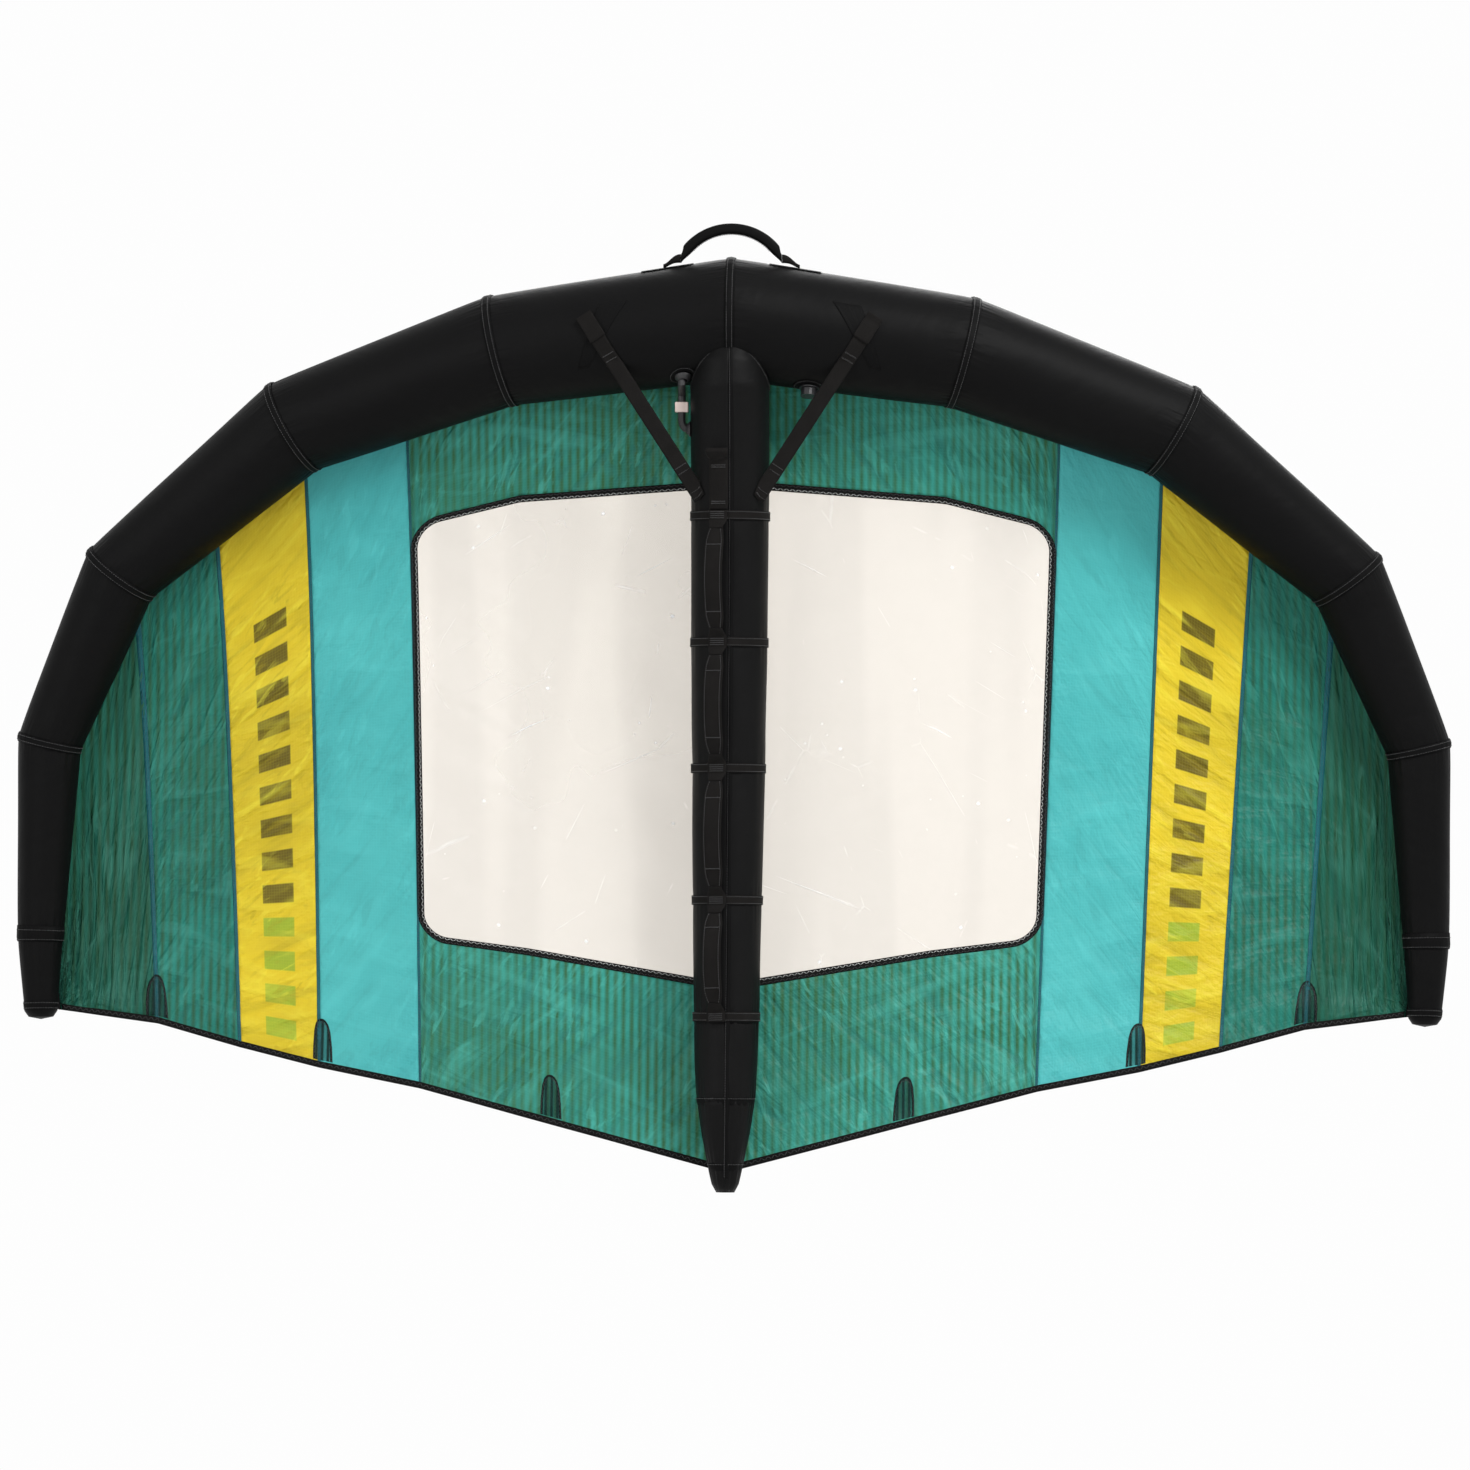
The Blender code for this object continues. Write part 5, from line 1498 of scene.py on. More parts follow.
@dataclass
class Strut:
    """Strut sleeve sections, its seams, the webbing bands round it and the bladder in it."""

    form: StrutForm = STRUT
    around: int = 112
    cell: float = 0.0085
    cloth: float = 0.0008
    seam_cloth: float = 0.0007
    webbing: float = 0.0018
    tucked: float = 0.004
    seam_width: float = 0.015
    ridge_width: float = 0.010
    band_half_deg: float = 146.0

    def swell(self, drop: Array, degrees: Array, seams: Sequence[float]) -> Array:
        """How far the tight cloth stands in or out, drawn in at the seams and bands.

        Args: drop, degrees: places. seams: the drops that hold it in.
        Returns: the lift at each.
        """
        made = 0.0007 * STRUT_RIPPLE(degrees / 26.0, drop * 9.0) - 0.0005
        for seam in seams:
            off = np.abs(drop - seam)
            made -= 0.0014 * np.exp(-off / 0.014)
            made += 0.0014 * STRUT_RIPPLE(degrees / 5.0 + 7 * seam, drop * 6.0) * np.exp(-off / 0.030)
        return made

    def section(self, name: str, node: str, start: float, end: float, top: bool) -> None:
        """One sewn section of the sleeve; the first is left open where the tube hides it.

        Args: name, node: the piece and its frame node. start, end: drops. top: the first one.
        """
        form, length = self.form, end - start
        seams = [CHORD * s for s in STRUT_SEAM_SHARES + BAND_DROP_SHARES]

        def place(u: Array, v: Array) -> Array:
            drop = start + (v ** 1.35 if top else v) * length
            return form.point(drop, u * 360.0, self.swell(drop, u * 360.0, seams) * smooth(drop / 0.08))

        def edge(u: Array, v: Array) -> Array:
            return np.minimum(v, 1 - v) * length

        around = 2 * math.pi * float(form.radius(start + length / 2))
        grid = cloth_grid(self.around, max(6, int(length / self.cell)), place, (around, length),
                               wrap=True, edge=edge)
        if top:
            self.open_front(grid[0])
        lay(name, grid, "strut", "sleeve_cloth", self.cloth, [node], offset=-1.0)

    def open_front(self, mesh: bpy.types.Mesh) -> None:
        """Takes away the cloth that would lie inside the leading edge. Args: mesh: the first section."""
        axis, radii = TUBE.axis, TUBE.radii
        run = axis[1] - axis[0]

        def inside(vert: bmesh.types.BMVert) -> bool:
            point = np.array((abs(vert.co.x), vert.co.y, vert.co.z))
            t = float(np.clip((point - axis[0]) @ run / (run @ run), 0.0, 1.0))
            gap = np.linalg.norm(point - lerp(axis[0], axis[1], t)) - lerp(radii[0], radii[1], t)
            return gap < -self.tucked

        with editing(mesh) as bm:
            hidden = [face for face in bm.faces if all(map(inside, face.verts))]
            bmesh.ops.delete(bm, geom=hidden, context="FACES")

    def cross_seam(self, number: int, drop: float) -> None:
        """A felled seam round the strut, with a row of stitches.

        Args: number: the seam. drop: its place.
        """
        form = self.form

        def place(u: Array, v: Array) -> Array:
            lift = 0.0006 * np.sin(np.pi * v) - 0.0008
            return form.point(drop + (v - 0.5) * self.seam_width, u * 360.0, lift)

        around = 2 * math.pi * float(form.radius(drop))
        grid = cloth_grid(120, 4, place, (around, self.seam_width), wrap=True)
        lay(f"strut_seam_{number}", grid, "patch", "sleeve_cloth", self.seam_cloth,
            offset=1.0)
        degrees = np.linspace(0.0, 360.0, 200)
        path = form.point(drop - 0.005, degrees, 0.0006)
        stitches(f"strut_seam_stitch_{number}", path, form.point(drop, degrees, 0.03) - path, PLAIN_ROW)

    def ridge(self, name: str, drops: Array, degrees: Array, width: float) -> None:
        """A raised seam along a line on the strut, with its stitches.

        Args: name: the piece. drops, degrees: the line. width: of the seam.
        """
        form = self.form
        path = form.point(drops, degrees, 0.0)
        lifted = form.point(drops, degrees, 0.02)
        ups = unit(lifted - path)
        run = unit(np.gradient(path, axis=0))
        across = unit(np.cross(run, ups))
        count = len(path)

        def place(u: Array, v: Array) -> Array:
            at = np.rint(v * (count - 1)).astype(int)
            off = (u - 0.5)[:, None] * width
            crown = (0.0016 * np.sin(np.pi * u) ** 2 - 0.0004 - (u - 0.5) ** 2 * width * width
                     / (2 * form.radius(drops[at])))[:, None]
            return path[at] + off * across[at] + crown * ups[at]

        length = float(np.linalg.norm(np.diff(path, axis=0), axis=1).sum())
        grid = cloth_grid(6, count - 1, place, (width, length))
        lay(name, grid, "patch", "sleeve_cloth", PATCH_CLOTH, offset=1.0)
        stitches(f"{name}_stitch", path + across * width * 0.33 + ups * 0.0008, ups, PLAIN_ROW)

    def band(self, number: int, drop: float) -> None:
        """A webbing band round the strut, with a row of stitches along each edge.

        Args: number: the band. drop: its place.
        """
        form = self.form

        def place(u: Array, v: Array) -> Array:
            degrees = (u - 0.5) * 2 * self.band_half_deg
            wave = 0.0004 * STRUT_RIPPLE(degrees / 9.0 + number, v)
            return form.point(drop + (v - 0.5) * BAND_WIDTH, degrees, BAND_LIFT + wave)

        around = 2 * math.radians(self.band_half_deg) * float(form.radius(drop))
        grid = cloth_grid(110, 6, place, (around, BAND_WIDTH))
        lay(f"band_{number}", grid, "webbing", "black_webbing", self.webbing,
            [f"strut_band_{number}"])
        degrees = np.linspace(-140.0, 140.0, 160)
        for row, shift in enumerate((-0.0065, 0.0065)):
            path = form.point(drop + shift, degrees, 0.0027)
            up = form.point(drop + shift, degrees, OUTWARD) - path
            stitches(f"band_stitch_{number}_{row + 1}", path, up, BAND_ROW)

    def bladder(self) -> None:
        """The strut's own air tube."""
        form = self.form
        start, end = (CHORD * share for share in BLADDER_SHARES)

        def place(u: Array, v: Array) -> Array:
            drop = lerp(start, end, v)
            shrink = np.minimum(smooth(v / 0.03) * 0.8 + 0.2, smooth((1 - v) / 0.02) * 0.98 + 0.02)
            radius = (form.radius(drop) - 0.0045) * shrink
            return form.point(drop, u * 360.0, radius - form.radius(drop))

        mesh, _ = cloth_grid(40, 90, place, (0.45, 1.5), wrap=True)
        show("strut_air_tube", mesh, "bladder", ROOT, "bladder_film", ["strut_bladder"])

    def tail_end(self) -> None:
        """The flat end of the tail cap, its rim turned in."""
        form, drop = self.form, float(self.form.drops[-1])
        radius = float(form.radius(drop))
        rings = [form.point(drop - 0.004 + d, np.linspace(0, 360, 33)[:-1], lift) for d, lift in
                 ((0.0, 0.0), (0.0036, 0.0), (0.0046, -0.0012), (0.0048, -radius * 0.5))]
        solid_grid("tail_plug", np.array(rings), "dark", ROOT, "sleeve_cloth")

    def build(self) -> None:
        """Makes every piece of the strut."""
        self.bladder()
        seams = [CHORD * s for s in STRUT_SEAM_SHARES]
        stops = [float(self.form.drops[0]), *seams, float(self.form.drops[-1])]
        for (name, node), start, end in zip(STRUT_SECTIONS, stops, stops[1:]):
            self.section(name, node, start, end, start == stops[0])
        for number, drop in enumerate(seams, 1):
            self.cross_seam(number, drop)
        drops = np.linspace(CHORD * 0.024, CHORD * 1.005, 240)
        self.ridge("strut_front_seam", drops, np.full(240, 4.0), self.ridge_width)
        turn = np.linspace(-1.0, 1.0, 121)
        self.ridge("strut_arch_seam", CHORD * (0.022 + 0.062 * np.abs(turn) ** 1.3), turn * 96.0, 0.008)
        for number, share in enumerate(BAND_DROP_SHARES, 1):
            self.band(number, CHORD * share)
        self.tail_end()


@dataclass
class Handles:
    """Grab handles along the strut, their sewn feet, the webbing tail and the front handle."""

    form: StrutForm = STRUT
    webbing: float = 0.0028
    joint_room: float = 0.0008
    tack_lift: float = 0.0008
    tack_half: float = 0.014
    row_inset: float = 0.0035
    loop: float = 0.016
    front_half: float = 0.0978
    front_height: float = 0.058
    front_bend: float = 0.016
    front_foot_reach: float = 0.034
    front_section: Tuple[float, float] = (0.0145, 0.0108)
    points: List[Array] = field(init=False)
    out: Array = field(init=False)
    front_axis_z: float = field(init=False)

    def __post_init__(self) -> None:
        turn = math.radians(HANDLE_TURN_DEG)
        self.out = np.array((math.sin(turn), -math.cos(turn), 0.0))
        self.points = [self.form.point(CHORD * share, HANDLE_TURN_DEG, HANDLE_AXIS_HEIGHT)[0]
                       for share in BAND_DROP_SHARES]
        half = FRONT_HANDLE_THICK / 2 * FRONT_HANDLE_END_SHARE
        self.front_axis_z = float(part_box("front_handle")[0].z) + half

    def axes(self, a: Array, b: Array) -> Tuple[Array, Array, Array]:
        """Along the handle, outward from the strut, and across.

        Args: a, b: the handle's ends.
        Returns: the three directions.
        """
        run = unit(b - a)
        out = unit(self.out - (self.out @ run) * run)
        return run, out, np.cross(run, out)

    def foot(self, number: int) -> None:
        """The folded webbing sewn on a band, rising to the handles on either side.

        Args: number: the foot, from the front.
        """
        before, after = self.points[max(number - 2, 0)], self.points[min(number, 4)]
        run, out, across = self.axes(before, after)
        base = BAND_LIFT + HANDLE_THICKNESS / 2 - HANDLE_AXIS_HEIGHT
        reach = np.linspace(-BAND_WIDTH / 2 if number == 1 else -FOOT_REACH,
                            BAND_WIDTH / 2 if number == 5 else FOOT_REACH, 25)
        rise = smooth((np.abs(reach) - 0.008) / (FOOT_REACH - 0.009))
        rings = []
        for r, t in zip(reach, rise):
            centre = self.points[number - 1] + r * run + base * (1 - t) * out
            rings.append(rounded_ring(centre, across, out, lerp(HANDLE_WIDTH, HANDLE_END_WIDTH, t) / 2,
                                      HANDLE_THICKNESS / 2 * (1 - 0.15 * t), 0.0004, 24))
        solid_grid(f"handle_foot_{number}", np.array(rings), "webbing", ROOT, "black_webbing")
        face = self.points[number - 1] + (base + HANDLE_THICKNESS / 2 + self.tack_lift) * out
        for row, shift in enumerate((-0.006, -0.002, 0.002, 0.006)):
            ends = face + shift * run
            half = across * self.tack_half
            line = lerp(ends - half, ends + half, np.linspace(0, 1, 12)[:, None])
            stitches(f"bar_tack_{number}_{row + 1}", line, out, BAR_TACK)

    def grip(self, number: int) -> None:
        """A padded webbing handle, which swings about the line through its ends.

        Args: number: the handle, from the front.
        """
        a, b = self.points[number - 1], self.points[number]
        run, out, across = self.axes(a, b)
        reach = run * (FOOT_REACH + self.joint_room)
        start, end = a + reach, b - reach
        t = np.linspace(0.0, 1.0, 61)
        bow = np.sin(np.pi * t) ** 0.8
        bow[[0, -1]] = 0.0
        rings, edge_paths = [], ([], [])
        for share, rise in zip(t, bow):
            soft = min(1.0, 2.2 * rise)
            width = lerp(HANDLE_END_WIDTH, HANDLE_WIDTH, soft)
            centre = lerp(start, end, share) + out * HANDLE_ARCH * rise
            rings.append(rounded_ring(centre, across, out, width / 2, HANDLE_THICKNESS / 2 - 0.0006,
                                      0.0012 * soft))
            face = out * (HANDLE_THICKNESS / 2 + 0.0002)
            for path, way in zip(edge_paths, SIDES.values()):
                path.append(centre + across * way * (width / 2 - self.row_inset) + face)
        body = f"grip_{number}"
        obj = solid_grid(f"grab_grip_{number}", np.array(rings), "webbing", body, "black_webbing",
                         [f"grab_handle_{number}"])
        for row, path in enumerate(edge_paths, 1):
            stitches(f"grip_stitch_{number}_{row}", np.array(path), out, GRIP_ROW, body)
        half = [lerp(start, end, s) + out * HANDLE_ARCH * float(np.interp(s, t, bow)) for s in (0.16, 0.84)]
        for row, spot in enumerate(half, 1):
            line = lerp(spot - across * 0.015, spot + across * 0.015, np.linspace(0, 1, 12)[:, None])
            line = line + out * (HANDLE_THICKNESS / 2 + 0.0012)
            stitches(f"grip_tack_{number}_{row}", line, out, GRIP_TACK, body)

    def tail(self) -> None:
        """The webbing's front end: sewn flat, its fold standing up."""
        form, loop = self.form, self.loop
        spread = math.degrees(HANDLE_WIDTH / 2 / STRUT_RADIUS)
        end = CHORD * BAND_DROP_SHARES[0] - BAND_WIDTH / 2 - 0.0011
        downs = np.array((0.0, 0.4, 0.9, 1.2, 3.7, 7.375)) * loop
        heights = np.array((0.7, 1.0, 0.6, 0.0, 0.0, 0.0)) * loop + 0.0020

        def place(u: Array, v: Array) -> Array:
            down = v ** 1.6 * downs[-1]
            return form.point(end - 0.118 + down, HANDLE_TURN_DEG + (u * 2 - 1) * spread,
                              np.interp(down, downs, heights))

        grid = cloth_grid(10, 48, place, (HANDLE_WIDTH, 0.130))
        lay("webbing_end", grid, "webbing", "black_webbing", self.webbing,
            ["handle_webbing_tail"])
        for row, back in enumerate((0.012, 0.016, 0.082, 0.086), 1):
            degrees = HANDLE_TURN_DEG + np.linspace(-spread * 0.75, spread * 0.75, 14)
            path = form.point(end - back, degrees, 0.0038)
            up = form.point(end - back, degrees, OUTWARD) - path
            stitches(f"webbing_end_tack_{row}", path, up, BAR_TACK)

    def front_grip(self) -> None:
        """The padded handle over the leading edge, which folds to either side."""
        half, height = self.front_half, self.front_height
        radius = (half * half + height * height) / (2 * height)
        a = np.linspace(-1.0, 1.0, 73) * math.asin(half / radius)
        rise = self.front_axis_z + radius * np.cos(a) - radius + height
        path = np.stack([radius * np.sin(a), np.zeros_like(a), rise], axis=1)
        near = smooth((half - np.abs(path[:, 0])) / self.front_bend)
        run = unit(lerp(SPAN, unit(np.gradient(path, axis=0)), near[:, None]))
        down = np.stack([run[:, 2], np.zeros(len(run)), -run[:, 0]], axis=1)
        rings = []
        for centre, under, share in zip(path, down, lerp(0.78, 0.97, near)):
            broad, high = (half * share for half in self.front_section)
            rings.append(rounded_ring(centre, BACK, -under, broad, high, 0.0, 30))
        body = "front_grip"
        obj = solid_grid(body, np.array(rings), "patch", body, "black_webbing", ["front_handle"])
        inner = path + down * 0.0112
        stitches("front_grip_stitch", inner[8:-8], down[8:-8], FRONT_GRIP_ZIGZAG, body)

    def front_foot(self, label: str, side: float) -> None:
        """Webbing sewn on top of the tube, rising to the handle's end.

        Args: label, side: its side.
        """
        rings = []
        for share in np.linspace(0.0, 1.0, 21):
            x = self.front_half + self.joint_room + self.front_foot_reach * share
            top = TUBE.point(x / float(TUBE.point(1.0, 180.0)[0, 0]), 180.0)[0]
            fall = float(smooth(np.array(share)))
            half = lerp(0.0084, 0.0034, fall)
            rise = lerp(self.front_axis_z, top[2] + 0.0006 + half, fall)
            centre = np.array((side * x, lerp(0.0, top[1], fall), rise))
            rings.append(rounded_ring(centre, BACK, UP, 0.009 * (1 + 0.4 * share), half, 0.0, 22))
        solid_grid(f"front_foot_{label}", np.array(rings), "webbing", ROOT, "black_webbing",
                   [f"front_handle_foot_{label}"])

        def place(u: Array, v: Array) -> Array:
            station = (0.070 + u * 0.095) / float(TUBE.axis[1, 0])
            return TUBE.point(station, 180.0 + (v - 0.5) * 27.0, PATCH_LIFT, side)

        grid = cloth_grid(16, 14, place, (0.095, 0.055), turned=side < 0)
        lay(f"front_foot_patch_{label}", grid, "patch", "sleeve_cloth", PATCH_CLOTH)

    def build(self) -> None:
        """Makes every handle and its sewn ends."""
        for number in range(1, 6):
            self.foot(number)
        for number in range(1, 5):
            self.grip(number)
        self.tail()
        self.front_grip()
        for label, side in SIDES.items():
            self.front_foot(label, side)


@dataclass
class Bracing:
    """The two webbing straps from the leading edge to the strut, with their sewn ends."""

    width: float = 0.030
    thickness: float = 0.0024
    tab: float = 0.0020
    patch: float = 0.0007
    top_x: float = 0.269
    top_drop: float = 0.021
    foot_x: float = 0.054
    foot_drop: float = 0.352
    clearance: float = 1.0086
    surplus: float = 1.12

    def route(self, lift: float) -> Tuple[Array, Array]:
        """Points down the strap's middle, and across it, kept clear of both tubes.

        Args: lift: off both tubes.
        Returns: both.
        """
        axis, radii = TUBE.axis, TUBE.radii
        share = self.top_x / axis[1, 0]
        middle, radius = lerp(axis[0], axis[1], share), lerp(radii[0], radii[1], share)
        rise = LE_AXIS_Z - self.top_drop - middle[2]
        top = np.array((self.top_x, middle[1] - math.sqrt(radius ** 2 - rise ** 2) - lift, middle[2] + rise))
        y = float(np.interp(self.foot_drop, STRUT.drops, STRUT.middle))
        y -= math.sqrt(float(STRUT.radius(self.foot_drop)) ** 2 - self.foot_x ** 2)
        foot = np.array((self.foot_x, y, LE_AXIS_Z - self.foot_drop))
        run = unit(foot - top)
        across = unit(np.cross(run, RIDER))
        return lerp(top, foot, np.linspace(0.0, 1.0, 65)[:, None]), across

    def clear(self, points: Array, lift: float) -> Array:
        """The points pushed out of the leading edge and the strut.

        Args: points: to push. lift: off both tubes.
        Returns: where they end.
        """
        axis, radii = TUBE.axis, TUBE.radii
        run = axis[1] - axis[0]
        points = points.copy()
        t = ((points - axis[0]) @ run / (run @ run))[:, None]
        off = points - lerp(axis[0], axis[1], t)
        far = np.linalg.norm(off, axis=1, keepdims=True)
        least = lerp(radii[0], radii[1], t) * self.clearance + lift
        points = np.where(far < least, points + off / far * (least - far), points)
        drop = LE_AXIS_Z - points[:, 2]
        off = points - np.stack([np.zeros(len(points)), np.interp(drop, STRUT.drops, STRUT.middle),
                                 points[:, 2]], axis=1)
        far = np.linalg.norm(off, axis=1, keepdims=True)
        least = (STRUT.radius(drop) * self.clearance + lift)[:, None]
        inside = (far < least) & (drop[:, None] > STRUT.drops[0])
        return np.where(inside, points + off / far * (least - far), points)

    def strap(self, label: str, side: float) -> None:
        """One strap, with bar tacks at both ends and a folded tab at its top.

        Args: label, side: its side.
        """
        lift = PATCH_LIFT + self.thickness / 2
        middle, across = self.route(lift)
        count = len(middle)

        def place(u: Array, v: Array) -> Array:
            spots = middle[np.rint(v * (count - 1)).astype(int)]
            return self.clear(spots + across * ((u - 0.5) * self.width)[:, None], lift) * (side, 1.0, 1.0)

        length = float(np.linalg.norm(middle[-1] - middle[0]))
        grid = cloth_grid(8, count - 1, place, (self.width, length), turned=side < 0)
        lay(f"brace_{label}", grid, "webbing", "black_webbing", self.thickness,
            [f"bracing_strap_{label}"])
        for row, at in enumerate((1, 3, 10, 12, count - 13, count - 11, count - 4, count - 2), 1):
            line = middle[at] + across * np.linspace(-0.42, 0.42, 24)[:, None] * self.width
            path = self.clear(line, lift) * (side, 1.0, 1.0)
            out = self.clear(line, lift + 0.02) * (side, 1.0, 1.0) - path
            out = np.where(np.linalg.norm(out, axis=1, keepdims=True) < 0.001, (0.0, -0.02, 0.0), out)
            path = path + unit(out) * lift
            stitches(f"brace_tack_{label}_{row}", path, out, BRACE_TACK)

        def tab(u: Array, v: Array) -> Array:
            line = middle[0] + (middle[1] - middle[0]) * (v * 9.0 - 4.5)[:, None]
            line = line + across * ((u - 0.5) * self.width * self.surplus)[:, None]
            return self.clear(line, lift * 2 + self.thickness * 0.6) * (side, 1.0, 1.0)

        grid = cloth_grid(10, 14, tab, (self.width * self.surplus, 0.060), turned=side < 0)
        lay(f"brace_tab_{label}", grid, "webbing", "black_webbing", self.tab)

    def anchor(self, label: str, side: float) -> None:
        """The three-cornered reinforcement patch on the leading edge under a strap's top.

        Args: label, side: its side.
        """
        def place(u: Array, v: Array) -> Array:
            half = lerp(0.020, 0.052, v)
            x = self.top_x - 0.018 + 0.070 * (0.5 - v) + (u - 0.5) * 2 * half * 0.5
            return TUBE.point(x / float(TUBE.axis[1, 0]), 270.0 + 32.0 - 62.0 * v, 0.0003, side)

        grid = cloth_grid(16, 20, place, (0.104, 0.110), turned=side > 0)
        lay(f"brace_patch_{label}", grid, "patch", "sleeve_cloth", self.patch)

    def build(self) -> None:
        """Makes both straps."""
        for label, side in SIDES.items():
            self.anchor(label, side)
            self.strap(label, side)


@dataclass
class Inflation:
    """Valve, cap, hose and clip: the frame's own solids with their finishes, and what is sewn round them."""

    valve: Tuple[float, float] = (0.36, -15.0)
    hose_x: float = 0.094
    hose_deg: float = -30.0
    hose_drop: float = CHORD * 0.130
    hose_radius: float = 0.0077

    def paint(self, node: str, finish: str) -> None:
        """Gives a frame solid its finish.

        Args: node: the solid. finish: key of FINISHES.
        """
        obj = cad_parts[node]
        obj.data.materials.clear()
        obj.data.materials.append(finish_of(finish))
        log.info("%s: frame solid, %s", node, finish)

    def patch(self, name: str, station: float, degrees: float, side: float, radius: float,
              hole: float) -> None:
        """A round reinforcement patch on the leading edge, open in its middle.

        Args: name: the piece. station, degrees, side: its middle. radius, hole: its size.
        """
        scale = float(TUBE.radii[0])

        def place(u: Array, v: Array) -> Array:
            a, reach = u * 2 * np.pi, lerp(hole, radius, v)
            along = reach * np.cos(a) / TUBE.length(0)
            spot = degrees + np.degrees(reach * np.sin(a) / scale)
            return TUBE.point(station + along, spot, PATCH_LIFT, side)

        grid = cloth_grid(40, 5, place, (2 * math.pi * radius, radius - hole), wrap=True, turned=side > 0)
        lay(name, grid, "patch", "sleeve_cloth", PATCH_CLOTH)
        a = np.linspace(0.0, 2 * np.pi, 80)
        reach = radius - 0.004
        spots = station + reach * np.cos(a) / TUBE.length(0), degrees + np.degrees(reach * np.sin(a) / scale)
        path = TUBE.point(*spots, 0.0009, side)
        stitches(f"{name}_stitch", path, TUBE.point(*spots, OUTWARD, side) - path, PATCH_ROW)

    def collar(self, name: str, point: Array, direction: Array, outer: float, height: float) -> None:
        """A turned rubber collar where the hose meets cloth.

        Args: name: the piece. point, direction: its foot and axis. outer, height: its size.
        """
        inner = self.hose_radius
        direction = unit(direction)
        side = unit(np.cross(direction, (0.0, 0.3, 1.0)))
        other = np.cross(direction, side)
        a = 2 * np.pi * np.arange(36) / 36
        ring = np.cos(a)[:, None] * side + np.sin(a)[:, None] * other
        profile = ((inner, 0.0), (outer, 0.0), (outer, height * 0.25),
                   (lerp(inner, outer, 0.55), height * 0.5), (inner + 0.0022, height), (inner, height),
                   (inner, 0.0))
        rings = [point + ring * r + direction * h for r, h in profile]
        solid_grid(name, np.array(rings), "hose", ROOT, "hose_rubber", caps=False)

    def build(self) -> None:
        """Makes the finishes and the sewn surroundings."""
        self.paint("inflation_valve", "dark")
        self.paint("valve_cap", "dark")
        self.paint("bladder_hose", "hose")
        self.paint("pinch_clip", "pale")
        self.patch("valve_patch", *self.valve, 1.0, 0.036, 0.0215)
        station = self.hose_x / float(TUBE.axis[1, 0])
        foot = TUBE.point(station, self.hose_deg, 0.0006, -1.0)[0]
        up = TUBE.point(station, self.hose_deg, OUTWARD, -1.0)[0] - foot
        self.collar("hose_collar_top", foot, up, 0.0165, 0.010)
        strut_side = np.array((-float(STRUT.radius(self.hose_drop)) - 0.0008,
                               float(np.interp(self.hose_drop, STRUT.drops, STRUT.middle)),
                               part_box("bladder_hose")[0].z + 0.0075))
        self.collar("hose_collar_strut", strut_side, -SPAN, 0.0150, 0.008)
        self.patch("hose_patch", station, self.hose_deg, -1.0, 0.030, 0.0175)


# Studio


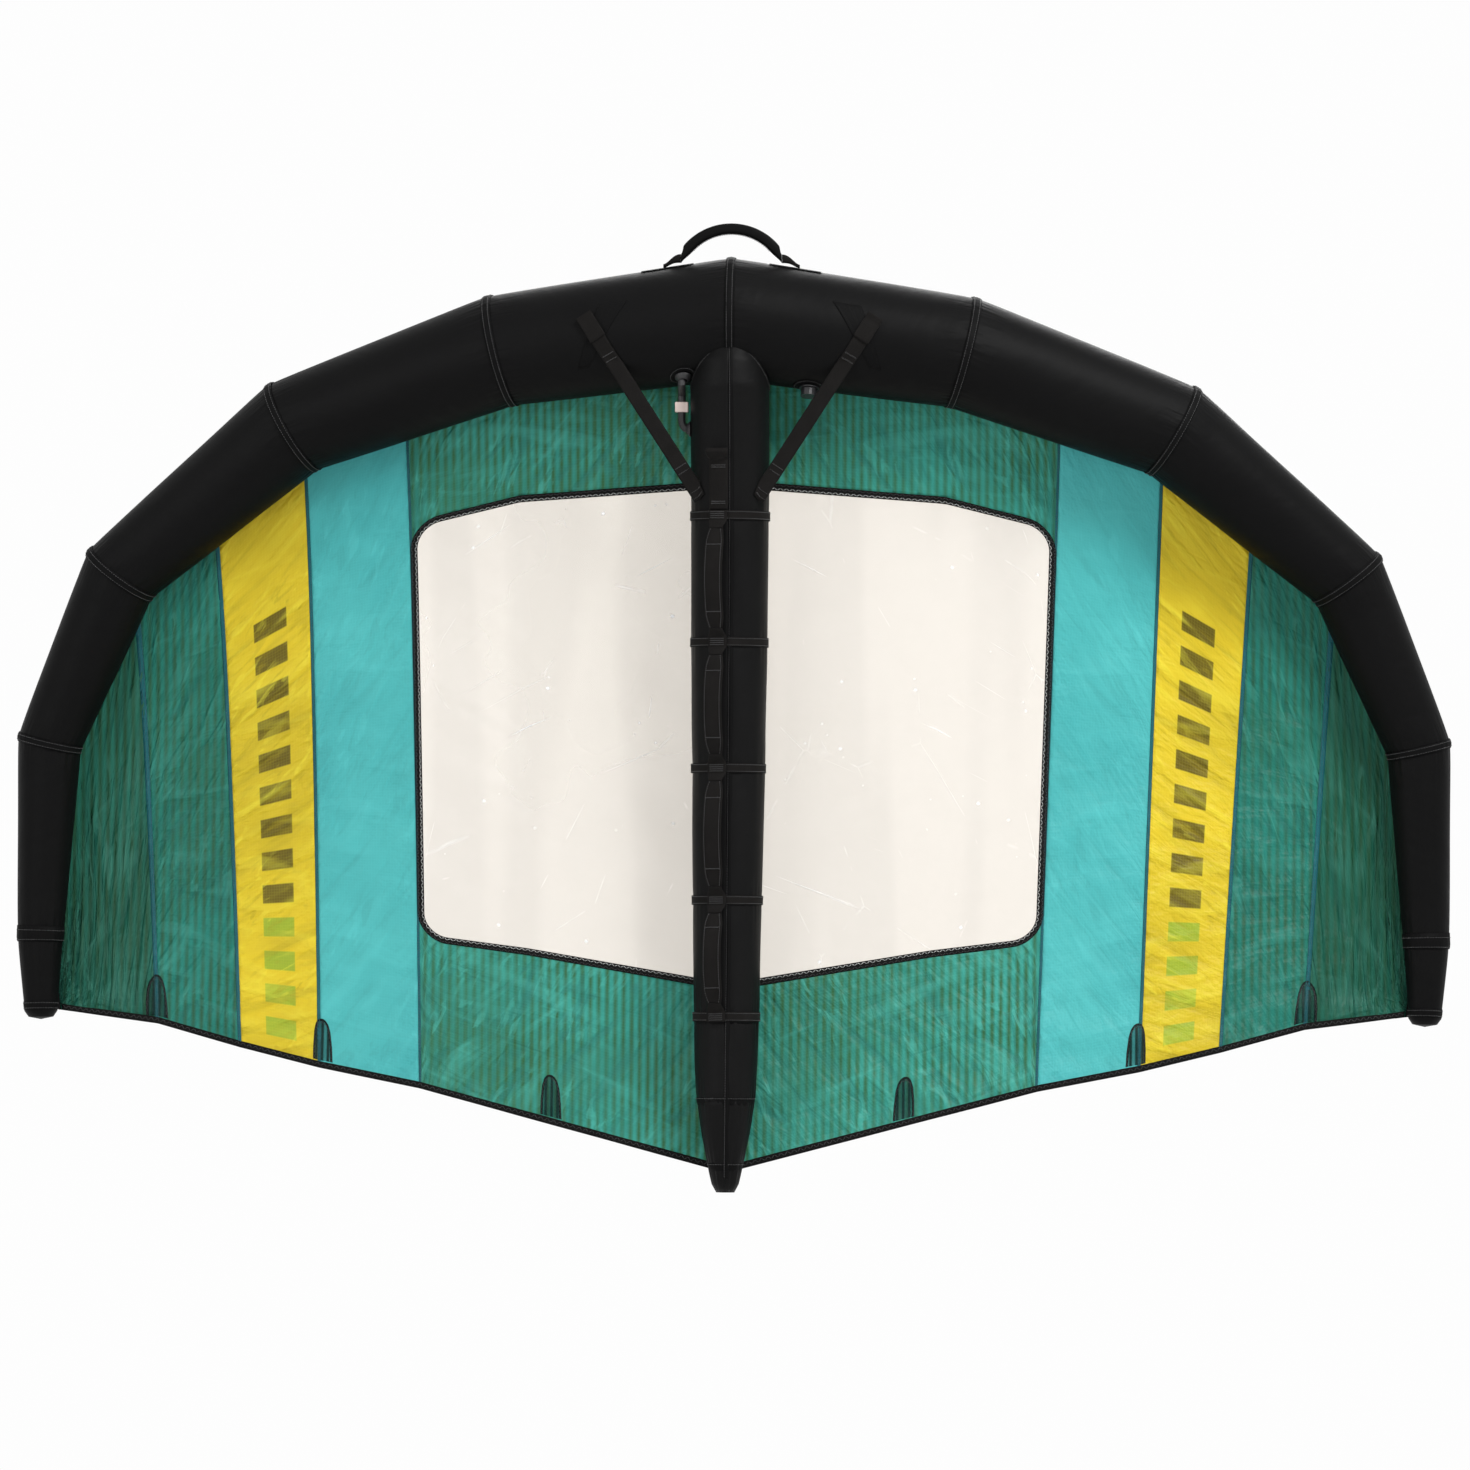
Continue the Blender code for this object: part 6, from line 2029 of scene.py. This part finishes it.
@dataclass
class Studio:
    """Pale floor and backdrop, soft lights, and the camera where the photograph was taken from."""

    azimuth_deg: float = 2.07
    elevation_deg: float = -1.32
    roll_deg: float = 0.33
    distance: float = 26.0
    aim: Triple = (0.010, 0.06, -0.926)
    lens: float = 326.9
    floor_z: float = -2.6
    backdrop_y: float = 60.0
    size: float = 200.0
    shade: float = 0.80
    fade: Tuple[float, float] = (2.8, 5.6)
    sky_strength: float = 0.46

    def white(self, name: str, whiteness: float) -> Material:
        """Plain pale stage paint that the camera, glossy cloth and film see as white.

        Args:
            name: the material's name.
            whiteness: how much of the white covers the paint and the shadow on it, near the wing.
        Returns: the material.
        """
        t = Tree(name)
        t.finish((self.shade,) * 3, 0.9)
        glow = t.node("ShaderNodeEmission")
        t.put(glow, "Color", STAGE_WHITE)
        t.put(glow, "Strength", 1.0)
        away = t.node("ShaderNodeVectorMath", operation="LENGTH")
        t.put(away, 0, t.place())
        far = t.ramp(away.outputs["Value"], *self.fade)
        cover = t.math("ADD", whiteness, t.times(far, 1.0 - whiteness))
        t.blend(t.times(t.seen(), cover), t.shader, glow)
        return t.material

    def sky(self) -> None:
        """An even white world, which lights the wing less than the camera sees of it."""
        world = bpy.data.worlds.new("studio")
        bpy.context.scene.world = world
        t = Tree.of_world(world)
        light, shown = t.nodes["Background"], t.node("ShaderNodeBackground")
        for node, strength in ((light, self.sky_strength), (shown, 1.0)):
            t.put(node, "Color", STAGE_WHITE)
            t.put(node, "Strength", strength)
        t.blend(t.seen(), light, shown)

    def plane(self, name: str, place: Callable[[Vector], Vector], whiteness: float) -> None:
        """A stage plane, each corner put in place.

        Args: name: the piece. place: moves a corner. whiteness: as in white.
        """
        mesh = bpy.data.meshes.new(name)
        with editing(mesh) as bm:
            bmesh.ops.create_grid(bm, x_segments=2, y_segments=2, size=self.size / 2)
            for vert in bm.verts:
                vert.co = place(vert.co)
        mesh.materials.append(self.white(name, whiteness))
        obj = bpy.data.objects.new(name, mesh)
        bpy.context.scene.collection.objects.link(obj)

    def lamp(self, name: str, at: Triple, size: float, power: float) -> None:
        """A soft square lamp that looks at the wing.

        Args: name: the lamp. at: its place. size: its side. power: in watts.
        """
        data = bpy.data.lights.new(name, "AREA")
        data.size, data.energy = size, power
        obj = bpy.data.objects.new(name, data)
        obj.location = at
        obj.rotation_euler = (Vector(self.aim) - Vector(at)).to_track_quat("-Z", "Y").to_euler()
        bpy.context.scene.collection.objects.link(obj)

    def build(self) -> None:
        """Makes the stage, the light and the camera."""
        self.plane("floor", lambda p: Vector((p.x, p.y, self.floor_z)), 0.80)
        self.plane("backdrop", lambda p: Vector((p.x, self.backdrop_y, p.y)), 1.0)
        self.sky()
        self.lamp("key", (3.0, -3.4, 3.2), 2.0, 290.0)
        self.lamp("fill", (-3.6, -4.0, 0.6), 3.0, 80.0)
        self.lamp("back", (0.5, 3.6, 1.2), 3.0, 120.0)
        data = bpy.data.cameras.new("camera")
        data.lens = self.lens
        data.dof.use_dof = False
        camera = bpy.data.objects.new("camera", data)
        a, e = math.radians(self.azimuth_deg), math.radians(self.elevation_deg)
        back = Vector((math.sin(a) * math.cos(e), -math.cos(a) * math.cos(e), math.sin(e)))
        camera.location = Vector(self.aim) + back * self.distance
        turn = (-back).to_track_quat("-Z", "Y").to_matrix().to_4x4()
        roll = Matrix.Rotation(math.radians(self.roll_deg), 4, "Z")
        camera.rotation_mode = "QUATERNION"
        camera.rotation_quaternion = (turn @ roll).to_quaternion()
        bpy.context.scene.collection.objects.link(camera)
        bpy.context.scene.camera = camera
        bpy.context.scene.view_settings.view_transform = "Standard"


def main() -> None:
    """Builds the wing and its studio."""
    logging.basicConfig(level=logging.INFO, format="%(name)s %(message)s")
    for part in (LeadingEdge(), Canopy(), Strut(), Handles(), Bracing(), Inflation(), Studio()):
        part.build()


if __name__ == "__main__":
    main()
